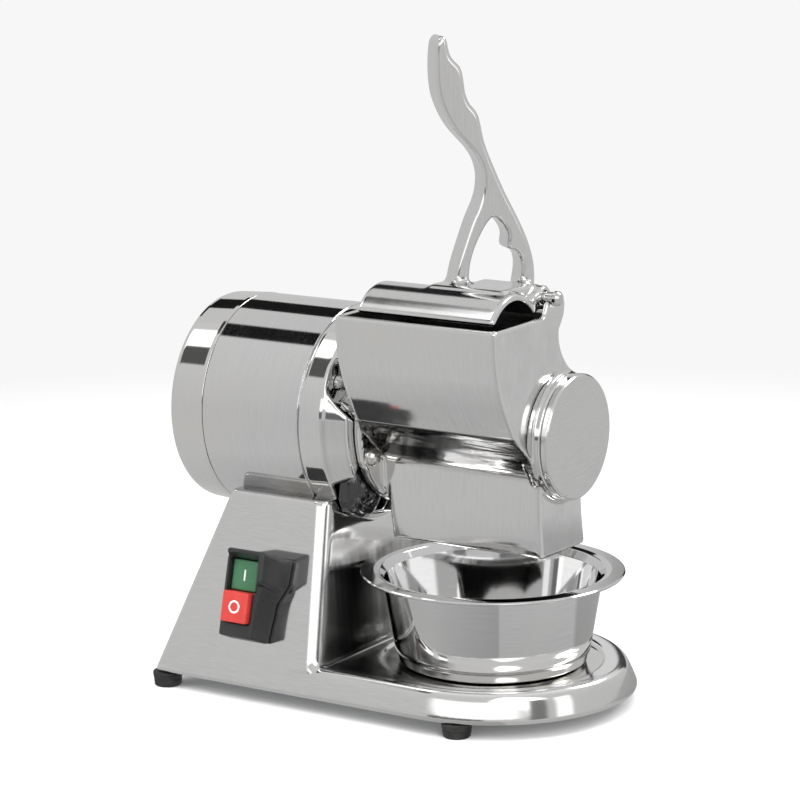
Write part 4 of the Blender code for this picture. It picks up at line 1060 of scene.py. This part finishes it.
def make_motor_flange():
    reach = MOTOR_RADIUS + 0.5
    grid = Grid((-161.6, -reach, AXIS_Z - reach), (-122.0, reach, AXIS_Z + reach), 0.9)
    x, y, rise = grid.x, grid.y, grid.z - AXIS_Z
    field = Outline(FLANGE_PROFILE, step=0.25, spline=False)(x, dist(y, rise))
    # the knob's pocket and stud hole
    knob = dist(y - KNOB_Y, rise - KNOB_RISE)
    field = cut(field, np.maximum(knob - 21.4, FLANGE_FACE - x), 0.8)
    field = cut(field, np.maximum(knob - 3.3, -147.0 - x))
    for angle, seat_radius, mouth_radius in SCREW_POCKETS:
        screw_y, screw_rise = screw_place(angle)
        screw = dist(y - screw_y, rise - screw_rise)
        widening = (mouth_radius - seat_radius) * (x - FLANGE_FACE) / 18.7
        pocket = np.maximum((screw - seat_radius - widening) * 0.9, FLANGE_FACE - x)
        field = cut(field, pocket, 0.7)
        field = cut(field, np.maximum(screw - 2.8, -150.0 - x))
    for bolt_y, bolt_rise in HEAD_BOLTS:
        hole = dist(y - bolt_y, rise - bolt_rise) - BOLT_HOLE_RADIUS
        field = cut(field, np.maximum(hole, -129.0 - x))
    field_piece("motor_flange_skin", field, grid, "chassis", FLANGE_METAL,
                "motor_front_flange")


# ------------------------------------------------------------------ small turned parts
def make_bowl():
    stations = [
        (26.0, 0), (26.0, 57.6, 2.2), (28.2, 60.6, 1.0), (33.9, 61.7, 0.5), (34.5, 62.9, 0.5),
        (80.4, 70.6, 1.5), (84.2, 73.2, 2.0), (85.4, 76.4, 1.0), (85.1, 83.2, 0.5),
        (84.4, 84.6, 0.4), (85.6, 85.3, 0.5), (86.6, 84.4, 0.4), (86.8, 76.2, 1.4),
        (85.8, 72.8, 1.6), (81.2, 69.6, 1.2), (34.8, 61.7, 0.5), (33.8, 60.5, 0.5),
        (28.8, 59.5, 0.8), (27.1, 57.0, 1.6), (27.1, 0)]
    turned("bowl_skin", stations, "Z", (BOWL_X, 0.0), 320, "bowl_body", BOWL_METAL, "bowl")


def make_screw(kind, number, seat, place, head_radius, head_height, shank_radius, depth):
    """Button-head screw along X with a six-sided socket."""
    face = seat + 0.3
    socket_radius = head_radius * 0.44

    def six_sided(along, radius, angles):
        if abs(radius - socket_radius) < 0.12 * head_radius and along > seat + 0.35 * head_height:
            side = (angles + 0.3) % (math.pi / 3) - math.pi / 6
            return radius * (math.cos(math.pi / 6) / np.cos(side) * 1.05 - 1.0)
        return 0.0

    stations = [
        (seat - depth, 0), (seat - depth, shank_radius, 0.3), (face, shank_radius, 0.1),
        (face, head_radius, 0.3), (face + head_height * 0.45, head_radius * 0.97, 1.0),
        (face + head_height * 0.85, head_radius * 0.76, 1.4),
        (face + head_height, head_radius * 0.53, 0.3), (face + head_height, socket_radius, 0.1),
        (face + head_height * 0.4, socket_radius, 0.1), (face + head_height * 0.4, 0)]
    turned(f"{kind}_skin_{number}", stations, "X", (place[0], place[1] + AXIS_Z), 72, "chassis",
           FASTENER_METAL, f"{kind}_{number}", wobble=six_sided)


def make_screws():
    for number, place in enumerate(HEAD_BOLTS, 1):
        make_screw("head_bolt", number, BOLT_SEAT, place, head_radius=6.0, head_height=5.0,
                   shank_radius=3.0, depth=12.0)
    for number, (angle, _, _) in enumerate(SCREW_POCKETS, 1):
        make_screw("flange_screw", number, FLANGE_FACE, screw_place(angle), head_radius=5.2,
                   head_height=3.6, shank_radius=2.5, depth=5.0)


def make_front_cap():
    stations = [(-4.0, 0), (-4.0, 31.6, 1.2), (5.3, 31.6, 0.2), (5.3, 39.0, 0.4),
                (6.0, 40.0, 0.5), (9.2, 40.0, 1.1), (10.5, 38.8, 0.9), (10.5, 0)]
    turned("front_cap_skin", stations, "X", AXIS, 192, "cap", FRONT_CAP_METAL, "front_cap")


def make_hinge_pin():
    stations = [(-63.0, 0), (-63.0, 4.0, 0.8), (0.4, 4.0, 0.2), (0.4, 4.9, 0.3),
                (3.0, 4.7, 1.0), (4.9, 3.0, 1.4), (5.2, 0)]
    turned("hinge_pin_skin", stations, "X", (PIN_Y, PIN_RISE + AXIS_Z), 64, "chassis",
           PIN_METAL, "hinge_pin")


def make_feet():
    """Rubber feet with a moulded groove."""
    stations = [(0.0, 0), (0.0, 7.9, 0.6), (0.8, 8.7, 0.5), (4.0, 9.2, 0.5), (4.5, 8.8, 0.3),
                (5.1, 9.3, 0.3), (8.6, 9.9, 0.5), (9.6, 9.5, 0.4), (9.7, 0)]
    places = [(-250.5, -86.0), (-250.5, 86.0), (-30.0, -81.0), (-30.0, 81.0)]
    for number, place in enumerate(places, 1):
        turned(f"foot_skin_{number}", stations, "Z", place, 64, "chassis", RUBBER,
               f"foot_{number}")


def make_knob():
    """Black lock knob with five soft lobes."""
    rim = 20.2

    def lobes(along, radius, angles):
        outwards = max(0.0, min(1.0, (radius - 5.0) / 11.0))
        side = max(0.0, min(1.0, (-124.0 - along) / 3.0))
        wave = 1.5 * (np.cos(5 * angles + 0.5) - 1.0) * 0.5
        return wave * outwards * (0.35 + 0.65 * side)

    stations = [
        (-136.4, 3.5, 0.3), (-136.4, rim - 1.8, 1.6), (-134.6, rim, 1.6), (-128.0, rim, 3.4),
        (-124.2, rim - 3.4, 3.6), (-123.4, rim - 7.4, 1.2), (-124.9, rim - 8.8, 1.2),
        (-122.8, rim - 12.6, 2.2), (-122.6, 0), (-127.0, 0), (-127.0, 3.5, 0.3)]
    turned("lock_knob_skin", stations, "X", (KNOB_Y, AXIS_Z + KNOB_RISE), 240, "knob",
           KNOB_BLACK, "lock_knob", wobble=lobes)


# ------------------------------------------------------------------ switch
# Grids here are in the near wall's own frame: x along it, y up it, z out from it.
# housing outline at the wall and at its face: along, up
HOUSING_FOOT = [(-16.5, -31.5), (11.9, -31.5), (15.2, -5.0), (22.2, 7.4), (23.4, 23.1),
                (-16.5, 24.6)]
HOUSING_FACE = [(-14.6, -28.6), (10.7, -29.0), (11.8, -7.0), (14.6, 3.0), (15.6, 22.0),
                (-14.6, 22.4)]
BUTTON_MIDDLE = -2.2
# node, body, material, slot, low edge, high edge, how far out it stands
BUTTONS = [("start_button", "start", GREEN, "button_green", 0.8, 20.8, 16.0),
           ("stop_button", "stop", RED, "button_red", -19.5, 0.4, 24.0)]
DISH_RADIUS = 60.35             # of the hollow in a button's face


def wall_piece(name, field, grid, body, material, replaces, soften=1):
    """A field piece turned from the wall's frame into the model frame."""
    points, quads, normals, curvature = skin(field, grid, soften)

    def turn(vectors):
        along, up, out = vectors.T
        return np.stack([along, up * WALL_SIN - out * WALL_COS, up * WALL_COS + out * WALL_SIN], 1)

    points = turn(points) + (SWITCH_X, SWITCH_Y, SWITCH_Z)
    mesh = mesh_from_quads(name, points, quads, {"curv": curvature})
    finish_piece(name, mesh, turn(normals), body, material, replaces)


def make_switch_housing():
    grid = Grid((-18.0, -33.0, 0.0), (25.0, 30.0, 28.5), 0.42)
    along, up, out = grid.x, grid.y, grid.z
    foot, face = (Outline(points, step=0.2, soften=6, corner=20.0)(along, up)
                  for points in (HOUSING_FOOT, HOUSING_FACE))
    climb = unit((out - 3.4) / 16.6)
    field = rounded(foot * (1 - climb) + face * climb, slab(out, 0.3, 20.0), 1.3)
    # hood round the upper button, leaning out
    climb = unit((out - 6.0) / 21.0)
    sides = np.maximum(-15.3 + climb * 4.6 - along, along - (21.0 - climb * 2.8))
    ends = np.maximum(1.5 + climb * 6.6 - up, up - (24.4 + climb * 3.8))
    hood = rounded(rounded(sides, ends, 2.4), np.maximum(5.0 - out, out - 27.0), 1.4)
    field = join(field, hood, 1.2)
    # well for the buttons
    well = np.maximum(np.maximum(slab(along, -12.4, 8.0), slab(up, -19.9, 21.2)),
                      np.maximum(-5.0 - out, out - 40.0))
    field = cut(field, well, 0.7)
    # the slope inside the hood
    climb = unit((out - 15.0) / 15.0)
    sides = np.maximum(-12.0 + climb * 2.4 - along, along - (8.4 + climb * 7.6))
    ends = np.maximum(0.4 + climb * 0.6 - up, up - (20.9 + climb * 5.9))
    field = cut(field, np.maximum(np.maximum(sides, ends), 15.0 - out), 0.8)
    wall_piece("switch_housing_skin", field, grid, "chassis", BLACK, "switch_housing",
               soften=2)


def make_buttons():
    for node, body, material, slot, low, high, front in BUTTONS:
        grid = Grid((-12.5, low - 0.5, -3.5), (8.0, high + 0.5, front + 0.5), 0.4)
        field = rounded_box(grid, (-12.0, 7.6), (low, high), (-3.0, front), 1.0)
        # a shallow dish in the face
        dish = np.sqrt((grid.x - BUTTON_MIDDLE)**2 + (grid.y - (low + high) / 2)**2
                       + (grid.z - front - 60.0)**2) - DISH_RADIUS
        wall_piece(node + "_skin", cut(field, dish, 0.6), grid, body, material, node)


def make_marks():
    """A raised bar on the start button and a raised ring on the stop button."""
    grid = Grid((-4.0, 6.0, 15.0), (0.0, 16.0, 16.6), 0.22)
    bar = rounded_box(grid, (-2.9, -1.6), (7.1, 14.5), (15.2, 16.0), 0.3)
    wall_piece("start_mark", bar, grid, "start", WHITE, None)
    grid = Grid((-8.0, -15.5, 23.0), (3.6, -3.6, 24.6), 0.22)
    radius = dist(grid.x - BUTTON_MIDDLE, grid.y + 9.5)
    ring = rounded(np.abs(radius - 3.6) - 0.62, slab(grid.z, 23.1, 24.0), 0.3)
    wall_piece("stop_mark", ring, grid, "stop", WHITE, None)


# ------------------------------------------------------------------ grating drum
DRUM_RADIUS = 27.0
TOOTH_ROWS, TOOTH_COLUMNS, TOOTH_PITCH = 28, 18, 5.2
TOOTH_SIDES = 10
# rings of one pierced tooth: radius, height above the drum
TOOTH_RINGS = [(2.0, -0.3), (1.5, 0.7), (1.05, 1.45), (0.75, 1.40), (0.7, 0.5), (0.6, -0.25)]


def make_drum():
    stations = [
        (-109.5, 6.8, 0.3), (-109.5, DRUM_RADIUS, 0.8), (-6.6, DRUM_RADIUS, 0.8),
        (-6.6, 12.0, 0.5), (-12.0, 12.0, 0.3), (-12.0, 5.3, 0.2), (-101.7, 5.3, 0.2),
        (-101.7, 6.8, 0.2)]
    turned("drum_skin", stations, "X", AXIS, 144, "drum_train", DRUM_METAL, "grating_drum")


def make_drum_teeth():
    points, faces = [], []
    for row in range(TOOTH_ROWS):
        for column in range(TOOTH_COLUMNS):
            x = -103.0 + TOOTH_PITCH * column + (TOOTH_PITCH / 2 if row % 2 else 0.0)
            base = len(points)
            for radius, height in TOOTH_RINGS:
                lean = 0.5 * max(height, 0)
                for m in range(TOOTH_SIDES):
                    turn = 2 * math.pi * m / TOOTH_SIDES
                    round_drum = (radius * math.sin(turn) + lean) / DRUM_RADIUS
                    angle = 2 * math.pi * row / TOOTH_ROWS + round_drum
                    points.append((x + radius * math.cos(turn),
                                   (DRUM_RADIUS + height) * math.cos(angle),
                                   AXIS_Z + (DRUM_RADIUS + height) * math.sin(angle)))
            last = base + (len(TOOTH_RINGS) - 1) * TOOTH_SIDES
            for start in range(base, last, TOOTH_SIDES):
                for m in range(TOOTH_SIDES):
                    here, beside = start + m, start + (m + 1) % TOOTH_SIDES
                    faces.append((here, here + TOOTH_SIDES, beside + TOOTH_SIDES, beside))
            faces.append(tuple(last + m for m in range(TOOTH_SIDES)))
            faces.append(tuple(base + m for m in range(TOOTH_SIDES)))
    mesh = mesh_from_faces("drum_teeth", points, faces)
    finish_piece("drum_teeth", mesh, None, "drum_train", DRUM_METAL, None)


# ------------------------------------------------------------------ CAD pieces that stay
CAD_FINISHES = {
    "bottom_plate": PLATE_METAL, "stator_core": IRON, "rotor_core": IRON,
    "winding_front": COPPER, "winding_rear": COPPER, "motor_shaft": PIN_METAL,
    "front_bearing": BEARING_METAL, "rear_bearing": BEARING_METAL, "shaft_seal": RUBBER,
    "drum_nut": FASTENER_METAL, "lock_stud": FASTENER_METAL, "switch_block": GREY,
    "run_capacitor": CAPACITOR, "terminal_block": NYLON, "cable_gland": BLACK}


def finish_cad():
    for node, material in CAD_FINISHES.items():
        CAD_NODES[node].data.materials.clear()
        CAD_NODES[node].data.materials.append(material)


# ------------------------------------------------------------------ floor, light and camera
PALE = 0.93                     # brightness of the backdrop as the camera sees it
FLOOR_CENTRE = (0.059, 0.0056)  # metres; the mirrored tones fan out from here


def painted_floor_reflection(surface):
    """Painted reflection: the floor's brightness in the metal's reflections, an emitted mid grey
    with darker sectors.
    """
    product, remap = surface.product, surface.remap
    reach = surface.new("ShaderNodeVectorMath", operation="LENGTH")
    surface.put(reach.inputs[0], surface.place)
    reach = reach.outputs["Value"]
    # painted shadow: darker near the machine
    tone = remap(reach, span=(0.15, 0.30), to=(0.50, 0.60))
    x, y, _ = surface.separate(surface.place)
    angle = surface.degrees(surface.math("SUBTRACT", y, FLOOR_CENTRE[1]),
                            surface.math("SUBTRACT", x, FLOOR_CENTRE[0]))
    # a sector on the near side that darkens towards its end
    shade = product(remap(angle, span=(-118.0, -54.0)),
                    remap(angle, span=(-54.0, -52.5), to=(1.0, 0.0)))
    tone = product(tone, remap(shade, span=(0.0, 1.0), to=(1.0, 0.74)))
    # a painted dark patch behind the bowl, mirrored in the tower's front wall and in the deck
    painted_dark_patch = product(remap(angle, span=(26.0, 32.0)),
                   remap(angle, span=(84.0, 92.0), to=(1.0, 0.0)))
    depth = product(remap(reach, span=(0.13, 0.16)),
                    remap(reach, span=(0.52, 0.58), to=(1.0, 0.0)))
    painted_dark_patch = product(painted_dark_patch, depth)
    return product(tone, remap(painted_dark_patch, span=(0.0, 1.0), to=(1.0, 0.72)))


def floor_material():
    surface = Surface("floor_paper_and_painted_reflection")
    fine = surface.noise(surface.place, scale=900.0, detail=3.0, roughness=0.6)
    patch = surface.noise(surface.place, scale=3.0)
    colour = surface.mix(surface.remap(patch, span=(0.3, 0.7)),
                         (0.86, 0.86, 0.86, 1), (0.89, 0.89, 0.89, 1))
    surface.set(Base_Color=colour, Roughness=0.85,
                Normal=surface.bump(fine, distance=0.00002), Specular_IOR_Level=0.15)
    glossy = surface.new("ShaderNodeLightPath").outputs["Is Glossy Ray"]
    grey = surface.new("ShaderNodeCombineColor")
    tone = painted_floor_reflection(surface)
    for k in range(3):
        surface.put(grey.inputs[k], tone)
    # glossy rays see the emitted grey instead of the paper: a painted reflection
    paper_and_painted_reflection = surface.mix_shader(glossy, surface.shader.outputs[0],
                               surface.emission(grey.outputs[0]))
    # away from the object the sheet fades into the pale backdrop
    away = surface.new("ShaderNodeVectorMath", operation="LENGTH")
    surface.put(away.inputs[0], surface.place)
    far = surface.remap(away.outputs["Value"], span=(0.35, 1.1))
    seen = surface.new("ShaderNodeLightPath").outputs["Is Camera Ray"]
    backdrop = surface.emission((PALE, PALE, PALE, 1))
    surface.put(surface.output.inputs[0],
                surface.mix_shader(surface.product(far, seen), paper_and_painted_reflection, backdrop))
    return surface.material


def make_floor():
    bpy.ops.mesh.primitive_plane_add(size=14.0, location=(0, 0, 0))
    floor = bpy.context.object
    floor.name = "floor"
    floor.data.materials.append(floor_material())


# Panels of the light tent. Columns: from and to in degrees about X (0 towards -Y, 90 up,
# 180 towards +Y), from and to in x of the direction, brightness, edge softness of each.
PANELS = [
    # over the motor: dark flags either side of a strip light
    (78, 96, -0.622, -0.520, 0.012, 3.0, 0.012),
    (123, 145, -0.80, -0.30, 0.012, 2.0, 0.02),
    (97, 122, -0.80, -0.30, 0.66, 1.0, 0.02),
    # white panels and dark flags seen in the caps
    (64, 86, -0.80, -0.626, 2.2, 4.0, 0.012),
    (42, 64, -0.80, -0.626, 0.10, 3.0, 0.012),
    (64, 86, -0.515, -0.38, 2.2, 4.0, 0.012),
    (42, 64, -0.515, -0.38, 0.10, 3.0, 0.012),
    # small bright lamp on the +Y side, for the sparkle on knobs and screw heads
    (120, 140, 0.28, 0.56, 9.0, 5.0, 0.05),
    # key light high at the +X end, on the -Y side
    (20, 60, 0.45, 0.90, 2.4, 6.0, 0.06)]
# Uprights round the horizon, mirrored in the bowl and the tower's edge. Columns: from and to
# in degrees about Z (0 towards +X), from and to in z, brightness, edge softness in degrees.
UPRIGHTS = [
    (-108, -38, 0.13, 0.34, 1.5, 14.0), (-110, -66, 0.0, 0.12, 0.16, 4.0),
    (-30, -16, 0.0, 0.36, 0.22, 5.0), (-8, 6, 0.0, 0.36, 1.4, 4.0),
    (92, 118, 0.0, 0.36, 0.05, 3.0)]
UPRIGHT_END_SOFTNESS = 0.04


def make_world():
    """A light tent: pale walls, with dark flags and bright panels for the metal to mirror."""
    world = bpy.data.worlds.new("studio")
    bpy.context.scene.world = world
    world.use_nodes = True
    sky = ShaderTree(world.node_tree)
    output = sky.new("ShaderNodeOutputWorld")
    background = sky.new("ShaderNodeBackground")
    sky.put(output.inputs[0], background.outputs[0])
    x, y, z = sky.separate(sky.new("ShaderNodeTexCoord").outputs["Generated"])

    def step(value, low, high):
        """0 below low, 1 above high."""
        node = sky.new("ShaderNodeMapRange", interpolation_type="SMOOTHSTEP")
        sky.put(node.inputs["Value"], value)
        node.inputs["From Min"].default_value = low
        node.inputs["From Max"].default_value = high
        return node.outputs[0]

    def band(value, low, high, softness):
        half = softness / 2
        return sky.product(step(value, low - half, low + half),
                           sky.math("SUBTRACT", 1.0, step(value, high - half, high + half)))

    def paint(tone, mask, level):
        return sky.math("ADD", sky.product(tone, sky.math("SUBTRACT", 1.0, mask)),
                        sky.product(mask, level))

    about_x = sky.degrees(z, sky.product(y, -1.0))
    about_z = sky.degrees(y, x)
    # the walls brighten upwards from 0.60 to 0.70
    tone = sky.math("ADD", 0.60, sky.product(step(z, -0.2, 0.9), 0.10))
    for start, end, low_x, high_x, level, softness, softness_x in PANELS:
        mask = sky.product(band(about_x, start, end, softness),
                           band(x, low_x, high_x, softness_x))
        tone = paint(tone, mask, level)
    for start, end, low_z, high_z, level, softness in UPRIGHTS:
        mask = sky.product(band(about_z, start, end, softness),
                           band(z, low_z, high_z, UPRIGHT_END_SOFTNESS))
        tone = paint(tone, mask, level)
    seen = sky.new("ShaderNodeLightPath").outputs["Is Camera Ray"]
    sky.put(background.inputs["Strength"], paint(tone, seen, PALE))
    background.inputs["Color"].default_value = (1, 1, 1, 1)


def add_area_light(name, place, target, size, power):
    light = bpy.data.lights.new(name, "AREA")
    light.energy = power
    light.size = size
    lamp = bpy.data.objects.new(name, light)
    lamp.location = place
    lamp.rotation_euler = (Vector(target) - Vector(place)).to_track_quat("-Z", "Y").to_euler()
    lamp.visible_glossy = False
    bpy.context.scene.collection.objects.link(lamp)


def make_lights():
    add_area_light("top_soft", place=(0.1, -0.3, 1.5), target=(0, 0, 0), size=1.6, power=26.0)
    add_area_light("fill_left", place=(-1.4, -1.2, 0.9), target=(0, 0, 0.1), size=1.2, power=14.0)
    add_area_light("fill_right", place=(1.3, -0.9, 1.0), target=(0, 0, 0.1), size=1.0, power=14.0)


# Where the camera stands, seen from its target: degrees from -Y towards +X, degrees up
CAMERA_AZIMUTH, CAMERA_ELEVATION, CAMERA_ROLL = 33.04, 11.78, -0.47
CAMERA_DISTANCE = 2.03068       # metres
CAMERA_TARGET = (-122.79, 0.0, 189.05)          # mm, model frame
CAMERA_LENS, CAMERA_SENSOR = 141.3909, 36.0     # mm


def make_camera():
    azimuth, elevation, roll = map(math.radians,
                                   (CAMERA_AZIMUTH, CAMERA_ELEVATION, CAMERA_ROLL))
    back = Vector((math.sin(azimuth) * math.cos(elevation),
                   -math.cos(azimuth) * math.cos(elevation), math.sin(elevation)))
    level = Vector((math.cos(azimuth), math.sin(azimuth), 0.0))
    upright = back.cross(level)
    right = math.cos(roll) * level + math.sin(roll) * upright
    up = -math.sin(roll) * level + math.cos(roll) * upright
    place = Vector(to_metres(CAMERA_TARGET)) + back * CAMERA_DISTANCE
    lens = bpy.data.cameras.new("camera")
    lens.sensor_width = CAMERA_SENSOR
    lens.lens = CAMERA_LENS
    lens.clip_start, lens.clip_end = 0.05, 60.0
    camera = bpy.data.objects.new("camera", lens)
    rows = [(right[k], up[k], back[k], place[k]) for k in range(3)]
    camera.matrix_world = Matrix((*rows, (0, 0, 0, 1)))
    bpy.context.scene.collection.objects.link(camera)
    bpy.context.scene.camera = camera


# ------------------------------------------------------------------ build
make_base()
make_head()
make_lever()
make_motor_shell()
make_motor_cap()
make_motor_flange()
make_bowl()
make_screws()
make_front_cap()
make_hinge_pin()
make_feet()
make_knob()
make_switch_housing()
make_buttons()
make_marks()
make_drum()
make_drum_teeth()
finish_cad()
make_floor()
make_world()
make_lights()
make_camera()
bpy.context.scene.view_settings.view_transform = "Standard"
